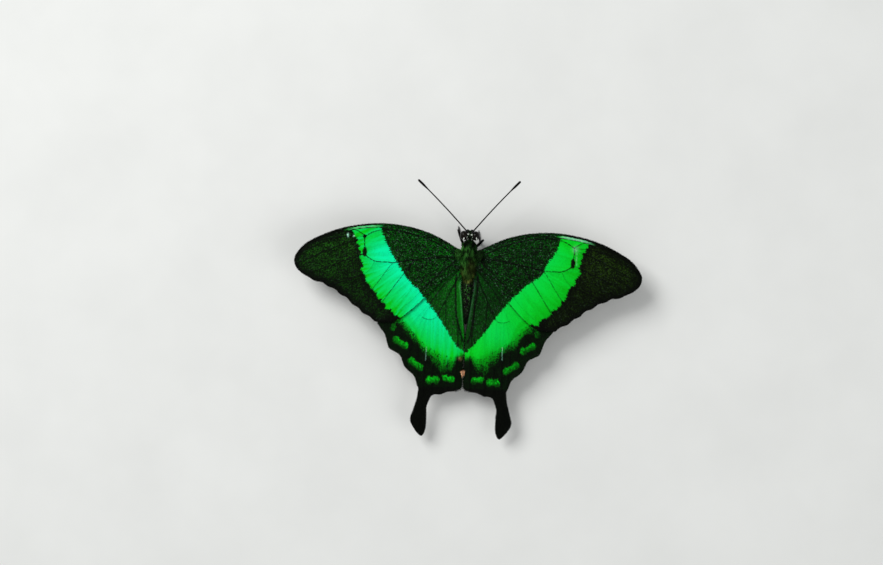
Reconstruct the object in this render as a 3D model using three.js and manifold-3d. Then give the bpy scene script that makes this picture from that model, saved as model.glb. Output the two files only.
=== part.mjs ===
// Emerald swallowtail butterfly, life size, standing on six feet with its wings spread flat.
// Millimetres. +Z is up, the head points to -Y and the butterfly's left side is +X.
// The origin is at the middle of the footprint, on the floor. Every shape below is written
// in body coordinates: x sideways, y backwards from the line through the wing roots, z up
// from the floor. The outer group then moves the body so that its box is centred.

import * as THREE from "three";
import { mergeVertices } from "three/addons/utils/BufferGeometryUtils.js";
import Module from "manifold-3d";

const wasm = await Module();
wasm.setup();

const LEFT = 1;
const RIGHT = -1;
const SIDES = { left: LEFT, right: RIGHT };

const SEAM = 0.04; // the slit between neighbouring pieces
const BOX_CENTRE_Y = 13.3; // halfway from the feeler tips to the tail tips
const FLOOR_Z = 0;
const FAR = 100; // longer than the butterfly, for the boxes that cut
const POLE = new THREE.Vector3(0, 1, 0); // the axis of three.js spheres and cylinders
const VERTICAL = new THREE.Vector3(0, 0, 1);

// Wings
const WING_THICKNESS = 0.5;
const WING_GAP_HALF = 0.45; // forewing and hindwing lie this far above and below their common sheet
const ROOT_Z = 6.9;
const DIHEDRAL = 0.075; // rise for each millimetre of span
const SPAN_CAMBER = 0.0016; // droop for each square millimetre of span
const REAR_DROOP = 0.0022; // droop for each square millimetre behind DROOP_FROM_Y
const DROOP_FROM_Y = 8;
const FOLD_WIDTH = 2.2; // the strip of hindwing that turns down beside the abdomen
const FOLD_DEPTH = 0.7;
const FOREWING_SWEEP = { left: 0.6, right: -0.6 }; // degrees forward about the wing root
const WING_ROOT = new THREE.Vector2(2.5, 0);

// Body
const BODY_AXIS_Z = 6.3;
const THORAX_FRONT_Y = -3.1;
const THORAX_BACK_Y = 5.5;
const COLLAR_FRONT_Y = -4.3;
const ABDOMEN_TIP_Y = 17.4;
const ABDOMEN_DROP = 1.5; // how much lower the abdomen's tip is than the thorax axis
const ABDOMEN_SEGMENTS = 8;
const GROOVE_SHARE = 0.05; // depth of the groove between segments, as a share of the radius
const HEAD_CENTRE = new THREE.Vector3(0, -5.6, 6.55);
const HEAD_RADII = new THREE.Vector3(1.45, 1.5, 1.5);
const EYE_CENTRE = new THREE.Vector3(1.5, -5.85, 6.65);
const EYE_RADII = new THREE.Vector3(1.1, 1.27, 1.34);
const HEAD_FACETS = [14, 10]; // columns and rows
const EYE_FACETS = [12, 10];
const PALP_RADII = [0.25, 0.32, 0.3, 0.18];
const PALP_FACETS = [8, 8];
const TONGUE_RADII = [0.2, 0.25, 0.25, 0.27]; // from its tip, inside the coil, to its root
const TONGUE_FACETS = [6, 22];

const TEGULA_CENTRE = new THREE.Vector3(2.8, -0.9, 8.31); // just above the forewing's root
const TEGULA_RADII = new THREE.Vector3(0.85, 1.45, 0.45);
const TEGULA_FACETS = [12, 8];

// Feelers
const ANTENNA_ROOT = new THREE.Vector3(0.45, -6.5, 7.6);
const ANTENNA_TIPS = {
  left: new THREE.Vector3(14.1, -19.6, 12.3),
  right: new THREE.Vector3(12.4, -20.4, 12.4),
};
const ANTENNA_BOW = 0.3;
const SHAFT_RADII = [0.33, 0.25, 0.25, 0.25];
const SHAFT_FACETS = [8, 10];
const CLUB_RADII = [0.25, 0.33, 0.33, 0.2];
const CLUB_FACETS = [8, 6];
const CLUB_LENGTH = 3.6;

// Legs
const LEG_SIDES = 8;
const LEG_ROWS = 7;
const LEG_BLUNT = 5; // how squarely a leg piece keeps its radius towards its ends
const COXA_RADII = [0.62, 0.6, 0.5];
const FEMUR_RADII = [0.36, 0.46, 0.44, 0.32];
const TIBIA_RADII = [0.28, 0.31, 0.3, 0.34];
const TARSUS_RADII = [0.3, 0.27, 0.27, 0.2];
const ANKLE_Z = 0.62;
const TOE_Z = 0.2;

const COLOURS = {
  wing: { color: "#0c2f18", roughness: 0.55, metalness: 0 },
  body: { color: "#14230f", roughness: 0.8, metalness: 0 },
  eye: { color: "#1a0f0a", roughness: 0.25, metalness: 0 },
  horn: { color: "#0b0b09", roughness: 0.45, metalness: 0 },
};

// ---- solids -------------------------------------------------------------------------

/** A closed geometry as a solid that can be cut and joined. */
function solidOf(geometry) {
  const bare = new THREE.BufferGeometry();
  bare.setAttribute("position", geometry.getAttribute("position").clone());
  bare.setIndex(geometry.index);
  const merged = mergeVertices(bare, 1e-4);
  const mesh = new wasm.Mesh({
    numProp: 3,
    vertProperties: new Float32Array(merged.attributes.position.array),
    triVerts: new Uint32Array(merged.index.array),
  });
  return new wasm.Manifold(mesh);
}

/** A solid's largest body as a geometry with flat faces. */
function geometryOf(solid) {
  const bodies = solid.decompose().sort((a, b) => b.volume() - a.volume());
  const mesh = bodies[0].getMesh();
  const geometry = new THREE.BufferGeometry();
  const positions = new THREE.BufferAttribute(mesh.vertProperties, 3);
  geometry.setAttribute("position", positions);
  geometry.setIndex(new THREE.BufferAttribute(mesh.triVerts, 1));
  const faceted = geometry.toNonIndexed();
  faceted.computeVertexNormals();
  return faceted;
}

/** Moves every vertex of a geometry to where place(x, y, z) says. */
function warp(geometry, place) {
  const positions = geometry.getAttribute("position");
  const vertex = new THREE.Vector3();
  for (let i = 0; i < positions.count; i += 1) {
    vertex.fromBufferAttribute(positions, i);
    vertex.copy(place(vertex.x, vertex.y, vertex.z));
    positions.setXYZ(i, vertex.x, vertex.y, vertex.z);
  }
  return geometry;
}

/** A box from one corner to the other, for cutting. */
function block(low, high) {
  const size = new THREE.Vector3().subVectors(high, low);
  const geometry = new THREE.BoxGeometry(size.x, size.y, size.z);
  geometry.translate(low.x + size.x / 2, low.y + size.y / 2, low.z + size.z / 2);
  return solidOf(geometry);
}

/** The part of a solid between two planes across the body's length. */
function between(solid, fromY, toY) {
  const low = new THREE.Vector3(-FAR, fromY, -FAR);
  const high = new THREE.Vector3(FAR, toY, FAR);
  return solid.intersect(block(low, high));
}

/** A smooth value along 0 to 1 through equally spaced sizes. */
function along(sizes) {
  const curve = new THREE.SplineCurve(sizes.map((size, i) => new THREE.Vector2(i, size)));
  return (t) => curve.getPoint(t).y;
}

/** An egg-shaped solid: an ellipsoid about a centre, grown by a margin. */
function egg(centre, radii, margin, columns, rows) {
  const geometry = new THREE.SphereGeometry(1, columns, rows);
  geometry.scale(radii.x + margin, radii.y + margin, radii.z + margin);
  geometry.translate(centre.x, centre.y, centre.z);
  return solidOf(geometry);
}

/**
 * A lofted solid along the body with its own half-width, top, bottom and axis height.
 * With segments it is drawn in by a shallow groove behind each of them.
 */
function loft({ from, to, width, top, bottom, axis, blunt, columns, rows, segments = 0 }, margin = 0) {
  const [widthAt, topAt, bottomAt, axisAt] = [width, top, bottom, axis].map(along);
  const place = (x, y, z) => {
    const t = (y + 1) / 2;
    const ring = Math.hypot(x, z) || 1;
    const groove = segments ? GROOVE_SHARE * Math.cos(Math.PI * segments * t) ** 4 : 0;
    const envelope = (1 - Math.abs(y) ** blunt) ** (1 / blunt) * (1 - groove);
    const height = z > 0 ? topAt(t) : bottomAt(t);
    return new THREE.Vector3(
      (x / ring) * envelope * (widthAt(t) + margin),
      from - margin + t * (to - from + 2 * margin),
      axisAt(t) + (z / ring) * envelope * (height + margin),
    );
  };
  return solidOf(warp(new THREE.SphereGeometry(1, columns, rows), place));
}

/** A tube of changing radius along part of a path, with flat ends. */
function tube(path, reference, radii, from, to, sides, rings) {
  const length = path.getLength();
  const radiusAt = along(radii);
  const place = (x, y, z) => {
    const t = y + 0.5;
    const u = THREE.MathUtils.clamp((from + t * (to - from)) / length, 0, 1);
    const tangent = path.getTangentAt(u);
    const normal = new THREE.Vector3().crossVectors(tangent, reference).normalize();
    const binormal = new THREE.Vector3().crossVectors(normal, tangent);
    const radius = radiusAt(t);
    return path
      .getPointAt(u)
      .addScaledVector(normal, x * radius)
      .addScaledVector(binormal, z * radius);
  };
  return solidOf(warp(new THREE.CylinderGeometry(1, 1, 1, sides, rings), place));
}

// ---- wings --------------------------------------------------------------------------

/** Points of a smooth curve through knots given as [span, backwards]. */
function smoothEdge(knots, divisions) {
  const points = knots.map(([span, back]) => new THREE.Vector2(span, back));
  return new THREE.SplineCurve(points).getPoints(divisions);
}

/** A shallow bay in the wing's margin between two vein ends. */
function bay(start, end, depth, divisions) {
  const chord = new THREE.Vector2(end[0] - start[0], end[1] - start[1]);
  const inward = new THREE.Vector2(-chord.y, chord.x).normalize();
  const points = [];
  for (let i = 0; i < divisions; i += 1) {
    const t = i / divisions;
    const dip = (depth * (1 - Math.cos(2 * Math.PI * t))) / 2;
    const point = new THREE.Vector2(start[0] + t * chord.x, start[1] + t * chord.y);
    points.push(point.addScaledVector(inward, dip));
  }
  return points;
}

/** Forewing outline: front edge, rounded tip, outer margin, then the hind edge. */
function forewingOutline() {
  const frontAndTip = [
    [1.2, -0.6], [3.4, -2.4], [10.5, -5.8], [18.3, -7.45], [26, -7.35], [34, -5.6],
    [41.4, -2.1], [44.5, 1], [45.2, 3.4], [44, 5.6], [40.5, 7.8], [36.3, 9.3],
    [31.8, 11.9], [27.2, 15.4], [23.4, 17.8],
  ];
  const hindEdge = [[23.4, 17.8], [19.6, 17.7], [15.9, 15.9], [11.1, 11.3], [5.4, 5.2], [1.2, 2]];
  return [...smoothEdge(frontAndTip, 46).slice(0, -1), ...smoothEdge(hindEdge, 12)];
}

/** Hindwing outline: hidden front edge, scalloped margin, spoon-shaped tail, inner edge. */
function hindwingOutline() {
  const frontEdge = [[1.4, 1.2], [6, 2.6], [12, 6], [18, 11.2], [21.6, 15.2], [22.9, 17.9]];
  const veinEnds = [[22.9, 17.9], [19.6, 24.2], [15.1, 29.1], [11.4, 34.4]];
  const bayDepths = [0.5, 0.9, 0.7];
  const tail = [
    [11.4, 34.4], [11.65, 37], [12.6, 40.5], [13.15, 42.9], [12, 45.2], [10.2, 46.9],
    [9.25, 45], [9.15, 41.6], [9.2, 39.2], [8.15, 36.3],
  ];
  const rearVeinEnds = [[8.15, 36.3], [5.8, 35.85], [1.9, 34.75]];
  const innerEdge = [
    [1.9, 34.75], [0.6, 34.2], [0.2, 33], [0.2, 27], [0.2, 21.2], [0.34, 18.6],
    [0.8, 15], [1.25, 11], [1.7, 7.5], [1.4, 4.4],
  ];
  const margin = bayDepths.flatMap((depth, i) => bay(veinEnds[i], veinEnds[i + 1], depth, 7));
  const rear = [0, 1].flatMap((i) => bay(rearVeinEnds[i], rearVeinEnds[i + 1], 0.25, 5));
  return [
    ...smoothEdge(frontEdge, 10).slice(0, -1),
    ...margin,
    ...smoothEdge(tail, 24).slice(0, -1),
    ...rear,
    ...smoothEdge(innerEdge, 18),
  ];
}

/** Height of the sheet that both wings of a side follow. */
function wingSheet(span, y) {
  const behind = Math.max(0, y - DROOP_FROM_Y);
  return ROOT_Z + DIHEDRAL * span - SPAN_CAMBER * span ** 2 - REAR_DROOP * behind ** 2;
}

/** Middle of the forewing's thickness. */
function forewingHeight(span, y) {
  return wingSheet(span, y) + WING_GAP_HALF;
}

/** Middle of the hindwing's thickness, which turns down beside the abdomen. */
function hindwingHeight(span, y) {
  const fold = Math.max(0, 1 - span / FOLD_WIDTH);
  return wingSheet(span, y) - WING_GAP_HALF - FOLD_DEPTH * fold ** 2;
}

/** A wing: a cambered sheet trimmed to its outline, clear of the body. */
function wing({ outline, height, side, sweep, frontY, backY, span, cells, body }) {
  const [columns, rows] = cells;
  const depth = backY - frontY;
  const sheet = new THREE.BoxGeometry(span, depth, WING_THICKNESS, columns, rows, 1);
  sheet.translate((side * span) / 2, frontY + depth / 2, 0);
  warp(sheet, (x, y, z) => new THREE.Vector3(x, y, height(Math.abs(x), y) + z));
  const turn = THREE.MathUtils.degToRad(-sweep);
  const corners = outline.map((point) => point.clone().rotateAround(WING_ROOT, turn));
  const shape = new THREE.Shape(corners.map((p) => new THREE.Vector2(side * p.x, p.y)));
  const cutter = new THREE.ExtrudeGeometry(shape, { depth: FAR, bevelEnabled: false });
  cutter.translate(0, 0, -FAR / 2);
  return solidOf(sheet).intersect(solidOf(cutter)).subtract(body);
}

// ---- body ---------------------------------------------------------------------------

const THORAX = {
  from: -4.2,
  to: 6.6,
  width: [1.8, 2.55, 2.85, 2.65, 2.1, 1.7],
  top: [1.6, 2.3, 2.65, 2.55, 2.1, 1.7],
  bottom: [1.5, 2.1, 2.5, 2.5, 2.1, 1.6],
  axis: [BODY_AXIS_Z + 0.1, BODY_AXIS_Z, BODY_AXIS_Z - 0.1],
  blunt: 2.6,
  columns: 18,
  rows: 14,
};

const COLLAR = {
  from: -5.4,
  to: -1.4,
  width: [1.6, 2, 2],
  top: [1.5, 1.75, 1.8],
  bottom: [1.2, 1.5, 1.7],
  axis: [BODY_AXIS_Z + 0.15, BODY_AXIS_Z + 0.1],
  blunt: 2.4,
  columns: 16,
  rows: 10,
};

const ABDOMEN = {
  from: 4.2,
  to: ABDOMEN_TIP_Y,
  width: [1.5, 1.62, 1.4, 1.24, 1.05, 0.72],
  top: [1.5, 1.55, 1.4, 1.25, 1.05, 0.75],
  bottom: [1.4, 1.6, 1.55, 1.35, 1.1, 0.8],
  axis: [BODY_AXIS_Z - 0.1, BODY_AXIS_Z - 0.5, BODY_AXIS_Z - 0.95, BODY_AXIS_Z - ABDOMEN_DROP],
  blunt: 2.8,
  columns: 12,
  rows: 32,
  segments: ABDOMEN_SEGMENTS,
};

/** The coiled tongue: a flat spiral under the face, in the plane of the body's middle. */
function proboscis() {
  const centre = new THREE.Vector3(0, -6, 4.2);
  const turns = 1.55;
  const innerRadius = 0.32;
  const outerRadius = 1.22;
  const points = [];
  const steps = 20;
  for (let i = 0; i <= steps; i += 1) {
    const t = i / steps;
    const angle = 0.4 * Math.PI - 2 * Math.PI * turns * (1 - t);
    const radius = innerRadius + (outerRadius - innerRadius) * t;
    const y = centre.y + radius * Math.cos(angle);
    points.push(new THREE.Vector3(0, y, centre.z + radius * Math.sin(angle)));
  }
  const path = new THREE.CatmullRomCurve3(points);
  const sideways = new THREE.Vector3(1, 0, 0);
  return tube(path, sideways, TONGUE_RADII, 0, path.getLength(), ...TONGUE_FACETS);
}

/** One labial palp, a short blunt finger that lies up along the face. */
function palp(side) {
  const points = [[0.6, -5.9, 4.9], [0.6, -6.9, 5.1], [0.55, -7.2, 6.1]];
  const path = new THREE.CatmullRomCurve3(points.map(([x, y, z]) => new THREE.Vector3(side * x, y, z)));
  const sideways = new THREE.Vector3(1, 0, 0);
  return tube(path, sideways, PALP_RADII, 0, path.getLength(), ...PALP_FACETS);
}

/** A feeler's path, bowed a little outwards, from its socket to its tip. */
function antennaPath(side, reach) {
  const root = ANTENNA_ROOT.clone().setX(side * ANTENNA_ROOT.x);
  const tip = reach.clone().setX(side * reach.x);
  const middle = root.clone().lerp(tip, 0.5);
  middle.add(new THREE.Vector3(-side * ANTENNA_BOW, -ANTENNA_BOW, ANTENNA_BOW));
  return new THREE.QuadraticBezierCurve3(root, middle, tip);
}

// ---- legs ---------------------------------------------------------------------------

const LEG_NAMES = ["fore", "middle", "hind"];

// Hip, end of the coxa, knee, ankle and toe of each leg, as [sideways, y, z].
const LEG_POINTS = {
  fore: {
    left: [[0.9, -2, 4.8], [1.6, -3.5, 3.4], [3.1, -7.3, 4.5], [2.4, -5.5, ANKLE_Z], [2.95, -8, TOE_Z]],
    right: [[0.9, -2, 4.8], [1.7, -2.9, 3.4], [3.6, -4.9, 4.7], [2.8, -4.3, ANKLE_Z], [2.4, -7.1, TOE_Z]],
  },
  middle: {
    left: [[1, 0.9, 4.6], [2, 1.1, 3], [5.3, 1.4, 4.9], [7.6, 2.2, ANKLE_Z], [10.9, 3.2, TOE_Z]],
    right: [[1, 0.9, 4.6], [2, 1.2, 3], [5.2, 2, 4.9], [7.4, 3.2, ANKLE_Z], [10.5, 4.8, TOE_Z]],
  },
  hind: {
    left: [[0.9, 3.4, 4.7], [1.7, 4.5, 3.2], [4.1, 8.9, 4.4], [6, 14, ANKLE_Z], [7.3, 18.4, TOE_Z]],
    right: [[0.9, 3.4, 4.7], [1.7, 4.6, 3.2], [3.9, 9.2, 4.4], [5.5, 14.6, ANKLE_Z], [6.6, 19, TOE_Z]],
  },
};

const LEG_PIECES = [
  { name: "coxa", radii: COXA_RADII },
  { name: "femur", radii: FEMUR_RADII },
  { name: "tibia", radii: TIBIA_RADII },
  { name: "tarsus", radii: TARSUS_RADII },
];

/** A straight leg piece with round ends: a ball of the radius it has there, drawn out. */
function limb(start, end, radii, margin) {
  const radiusAt = along(radii);
  const axis = new THREE.Vector3().subVectors(end, start);
  const length = axis.length();
  const turn = new THREE.Quaternion().setFromUnitVectors(POLE, axis.divideScalar(length));
  const place = (x, y, z) => {
    const t = (y + 1) / 2;
    const ring = Math.hypot(x, z) || 1;
    const envelope = (1 - Math.abs(y) ** LEG_BLUNT) ** (1 / LEG_BLUNT);
    const radius = envelope * (radiusAt(t) + margin);
    const reach = y * (length / 2 + radiusAt(t) / 2 + margin);
    return new THREE.Vector3((x / ring) * radius, reach, (z / ring) * radius)
      .applyQuaternion(turn)
      .add(start.clone().add(end).multiplyScalar(0.5));
  };
  return solidOf(warp(new THREE.SphereGeometry(1, LEG_SIDES, LEG_ROWS), place));
}

/** The four pieces of a leg, each clear of the one before, with the sole on the floor. */
function leg(side, points, body) {
  const joints = points.map(([x, y, z]) => new THREE.Vector3(side * x, y, z));
  const underFloor = block(new THREE.Vector3(-FAR, -FAR, -FAR), new THREE.Vector3(FAR, FAR, FLOOR_Z));
  let taken = body.add(underFloor);
  return LEG_PIECES.map(({ name, radii }, i) => {
    const piece = limb(joints[i], joints[i + 1], radii, 0).subtract(taken);
    taken = taken.add(limb(joints[i], joints[i + 1], radii, SEAM));
    return { name, solid: piece };
  });
}

// ---- the butterfly ------------------------------------------------------------------

const materials = Object.fromEntries(
  Object.entries(COLOURS).map(([name, look]) => [name, new THREE.MeshStandardMaterial(look)]),
);

/** A named mesh of a solid. */
function meshOf(name, solid, material) {
  const mesh = new THREE.Mesh(geometryOf(solid), material);
  mesh.name = name;
  return mesh;
}

/** Head, eyes, palps, tongue and feelers. */
function buildHead() {
  const group = new THREE.Group();
  const eyeAt = (side) => EYE_CENTRE.clone().setX(side * EYE_CENTRE.x);
  const skull = egg(HEAD_CENTRE, HEAD_RADII, 0, ...HEAD_FACETS);
  const eyes = Object.values(SIDES).map((side) => egg(eyeAt(side), EYE_RADII, SEAM, ...EYE_FACETS));
  const head = between(skull, -FAR, COLLAR_FRONT_Y - SEAM).subtract(eyes[0]).subtract(eyes[1]);
  const clearance = egg(HEAD_CENTRE, HEAD_RADII, SEAM, ...HEAD_FACETS).add(eyes[0]).add(eyes[1]);
  group.add(meshOf("head", head, materials.body));
  group.add(meshOf("proboscis", proboscis().subtract(clearance), materials.horn));
  for (const [name, side] of Object.entries(SIDES)) {
    const eye = between(egg(eyeAt(side), EYE_RADII, 0, ...EYE_FACETS), -FAR, COLLAR_FRONT_Y - SEAM);
    group.add(meshOf(`eye_${name}`, eye, materials.eye));
    group.add(meshOf(`palp_${name}`, palp(side).subtract(clearance), materials.body));
    const path = antennaPath(side, ANTENNA_TIPS[name]);
    const clubStart = path.getLength() - CLUB_LENGTH;
    const shaft = tube(path, VERTICAL, SHAFT_RADII, 0, clubStart - SEAM, ...SHAFT_FACETS);
    const club = tube(path, VERTICAL, CLUB_RADII, clubStart, path.getLength(), ...CLUB_FACETS);
    group.add(meshOf(`antenna_${name}`, shaft.subtract(clearance), materials.horn));
    group.add(meshOf(`antenna_club_${name}`, club, materials.horn));
  }
  return group;
}

/** Collar, thorax and abdomen, parted by thin slits. */
function buildTrunk() {
  const group = new THREE.Group();
  const collar = between(loft(COLLAR), COLLAR_FRONT_Y, THORAX_FRONT_Y - SEAM);
  const thorax = between(loft(THORAX), THORAX_FRONT_Y, THORAX_BACK_Y);
  group.add(meshOf("collar", collar, materials.body));
  group.add(meshOf("thorax", thorax, materials.body));
  const abdomen = between(loft(ABDOMEN), THORAX_BACK_Y + SEAM, FAR);
  group.add(meshOf("abdomen", abdomen, materials.body));
  return group;
}

/** Four wings and the two shoulder scales over the forewing roots. */
function buildWings(body) {
  const group = new THREE.Group();
  for (const [name, side] of Object.entries(SIDES)) {
    const forewing = wing({
      outline: forewingOutline(), height: forewingHeight, side, sweep: FOREWING_SWEEP[name],
      frontY: -9, backY: 19.4, span: 46, cells: [14, 7], body,
    });
    const hindwing = wing({
      outline: hindwingOutline(), height: hindwingHeight, side, sweep: 0,
      frontY: 0, backY: 48, span: 24, cells: [9, 14], body,
    });
    const tegulaCentre = TEGULA_CENTRE.clone().setX(side * TEGULA_CENTRE.x);
    const tegula = egg(tegulaCentre, TEGULA_RADII, 0, ...TEGULA_FACETS).subtract(body);
    group.add(meshOf(`forewing_${name}`, forewing, materials.wing));
    group.add(meshOf(`hindwing_${name}`, hindwing, materials.wing));
    group.add(meshOf(`tegula_${name}`, tegula, materials.body));
  }
  return group;
}

/** Six legs of four pieces each. */
function buildLegs(body) {
  const group = new THREE.Group();
  for (const pair of LEG_NAMES) {
    for (const [name, side] of Object.entries(SIDES)) {
      for (const piece of leg(side, LEG_POINTS[pair][name], body)) {
        group.add(meshOf(`${pair}_${piece.name}_${name}`, piece.solid, materials.horn));
      }
    }
  }
  return group;
}

const bodyRoom = loft(THORAX, SEAM).add(loft(COLLAR, SEAM)).add(loft(ABDOMEN, SEAM));

const butterfly = new THREE.Group();
butterfly.position.y = -BOX_CENTRE_Y;
butterfly.add(buildHead());
butterfly.add(buildTrunk());
butterfly.add(buildWings(bodyRoom));
butterfly.add(buildLegs(bodyRoom));

const root = new THREE.Group();
root.add(butterfly);

export default root;
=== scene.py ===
"""Emerald swallowtail butterfly, life size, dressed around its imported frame.

Shapes are worked out in body millimetres: x to the side, y backwards from the line through the
wing roots, z up from the floor. On a wing, "span" is the distance from the body's middle and
"back" is y. to_frame() takes points to the frame's metres.
"""

import logging
import math
from dataclasses import dataclass, field, replace
from enum import Enum

import bpy
import numpy as np
from mathutils import Matrix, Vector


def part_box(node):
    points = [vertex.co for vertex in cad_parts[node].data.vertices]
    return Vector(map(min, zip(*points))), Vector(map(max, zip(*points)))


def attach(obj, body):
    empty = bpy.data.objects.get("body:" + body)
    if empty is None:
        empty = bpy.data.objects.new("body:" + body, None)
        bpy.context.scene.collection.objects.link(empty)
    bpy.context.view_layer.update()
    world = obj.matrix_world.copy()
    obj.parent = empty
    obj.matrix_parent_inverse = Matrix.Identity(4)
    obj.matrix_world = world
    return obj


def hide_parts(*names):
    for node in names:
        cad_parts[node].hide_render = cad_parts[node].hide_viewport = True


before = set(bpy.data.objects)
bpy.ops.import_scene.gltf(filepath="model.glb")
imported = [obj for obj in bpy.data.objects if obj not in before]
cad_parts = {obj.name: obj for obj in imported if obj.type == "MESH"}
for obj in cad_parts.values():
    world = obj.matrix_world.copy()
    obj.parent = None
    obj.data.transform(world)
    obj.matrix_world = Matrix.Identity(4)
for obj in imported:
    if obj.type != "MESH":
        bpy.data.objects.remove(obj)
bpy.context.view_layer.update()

log = logging.getLogger("butterfly")

Array = np.ndarray
Chance = np.random.Generator  # where random draws come from
Values = dict[str, Array]
Pair = tuple[float, float]
Triple = tuple[float, float, float]

MM = 0.001
THORAX_FRONT_Y = -3.1  # in body millimetres, where the frame has the thorax node's front
BODY_SHIFT = np.array([0.0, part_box("thorax")[0].y / MM - THORAX_FRONT_Y, 0.0])
UNWRAP = "OFBake"
PATCH = 0.003  # side of one scale's or hair's patch on the unwrap
SEED = 20
CHUNK = 4000  # points measured at once
WELD = 1e-4  # points of a mesh that are closer than this become one
SIDEWAYS = np.array([1.0, 0.0, 0.0])
UPRIGHT = np.array([0.0, 0.0, 1.0])


class Labelled(Enum):
    """A choice whose name also stands in the names of pieces."""

    @property
    def label(self) -> str:
        """The name in small letters."""
        return self.name.lower()


class Side(Labelled):
    """The two sides of the body, with the sign of x."""

    LEFT = 1
    RIGHT = -1


class Face(Labelled):
    """The two faces of a wing, with the sign of z."""

    TOP = 1
    UNDER = -1


# ---- lines, noise and small sums ----


def unit(vectors: Array) -> Array:
    """Vectors divided by their lengths."""
    return vectors / np.maximum(np.linalg.norm(vectors, axis=-1, keepdims=True), 1e-12)


def smooth_step(value: Array, low: float, high: float) -> Array:
    """0 below low, 1 above high and an even S between them: 3t² - 2t³."""
    t = np.clip((value - low) / (high - low), 0.0, 1.0)
    return t * t * (3 - 2 * t)


def window(value: Array, rise: Pair, fall: Pair) -> Array:
    """1 between two limits and 0 outside them, eased over a rise and a fall."""
    return smooth_step(value, *rise) * (1 - smooth_step(value, *fall))


def glimmer(distance: Array, reach: float) -> Array:
    """A soft spot: 1 at no distance, falling as a bell of the given reach."""
    return np.exp(-((distance / reach) ** 2))


def on_side(points: Array | tuple, side: Side) -> Array:
    """Points of the left side as points of a side."""
    return np.array(points) * (side.value, 1, 1)


def along_skin(way: Triple, normal: Array) -> Array:
    """One way laid onto the skin at each normal: its part along the normal is taken off."""
    return unit(way - normal * (normal @ np.array(way))[:, None])


def unrolled(turn: Array, share: Array) -> Array:
    """Places on the unwrap of a round skin: its turn across and its share of the length up."""
    return np.stack([turn / (2 * np.pi), share], axis=1) * 0.98 + 0.01


def oval(points: Array, centre: Pair, radii: Pair) -> Array:
    """Distance of points from a centre, in plan, with 1 at the rim of an oval of two radii."""
    return np.hypot((points[:, 0] - centre[0]) / radii[0], (points[:, 1] - centre[1]) / radii[1])


def dab(points: Array, centre: Pair, reach: float) -> Array:
    """A soft round spot of paint, in plan."""
    return glimmer(np.hypot(points[:, 0] - centre[0], points[:, 1] - centre[1]), reach)


def clipped(values: Values) -> Values:
    """The values cut off below 0 and above 1."""
    return {key: np.clip(value, 0, 1) for key, value in values.items()}


def smooth_path(knots: Array | tuple, shares: Array) -> Array:
    """Points of a Catmull-Rom curve: its slope at a knot is half the gap between the neighbours.

    Args:
        knots: The points that the curve passes through, one row each.
        shares: Places along the curve, 0 at the first knot and 1 at the last.

    Returns:
        One row for each share.
    """
    knots = np.asarray(knots, float)
    last = len(knots) - 1
    place = np.clip(shares, 0, 1) * last
    i = np.minimum(place.astype(int), last - 1)
    w = (place - i)[:, None]
    before, start, end = knots[np.maximum(i - 1, 0)], knots[i], knots[i + 1]
    after = knots[np.minimum(i + 2, last)]
    leave, arrive = (end - before) / 2, (after - start) / 2
    cubic = (2 * start - 2 * end + leave + arrive) * w**3
    return cubic + (3 * end - 3 * start - 2 * leave - arrive) * w**2 + leave * w + start


def run_of(points: Array) -> float:
    """Length of a polyline."""
    return np.linalg.norm(np.diff(points, axis=0), axis=1).sum()


def evenly(points: Array, count: int) -> Array:
    """Resamples a polyline at equal steps of its length.

    Args:
        points: The polyline.
        count: Number of new points.

    Returns:
        The new points.
    """
    run = np.concatenate([[0], np.cumsum(np.linalg.norm(np.diff(points, axis=0), axis=1))])
    at = np.linspace(0, run[-1], count)
    return np.stack([np.interp(at, run, points[:, k]) for k in range(points.shape[1])], axis=1)


def curve(knots: Array | tuple, count: int, start: float = 0.0, end: float = 1.0) -> Array:
    """An evenly spaced stretch of the smooth curve through the knots, between two shares."""
    return evenly(smooth_path(knots, np.linspace(start, end, 12 * len(knots))), count)


@dataclass(frozen=True)
class Line:
    """A polyline in plan that points are measured against."""

    points: Array

    def measure(self, where: Array) -> tuple[Array, Array, Array]:
        """Finds each point's nearest place: the foot of the shortest perpendicular on any segment.

        Args:
            where: Points as span and back.

        Returns:
            Distance, negative on the line's right; length run to the nearest place; the line's
            unit direction there.
        """
        start, step = self.points[:-1], np.diff(self.points, axis=0)
        length = np.maximum(np.linalg.norm(step, axis=1), 1e-9)
        reached = np.cumsum(length) - length
        found = []
        for part in np.array_split(where, max(1, len(where) // CHUNK)):
            gap = part[:, None] - start
            share = np.clip((gap * step).sum(-1) / length**2, 0, 1)
            miss = ((gap - share[..., None] * step) ** 2).sum(-1)
            best = miss.argmin(1)
            row = np.arange(len(part))
            toward = step[best]
            off = part - start[best]
            turn = toward[:, 0] * off[:, 1] - toward[:, 1] * off[:, 0]
            along = reached[best] + share[row, best] * length[best]
            signed = np.sqrt(miss[row, best]) * np.where(turn < 0, -1, 1)
            found.append(np.column_stack([signed, along, unit(toward)]))
        result = np.concatenate(found)
        return result[:, 0], result[:, 1], result[:, 2:]


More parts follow.
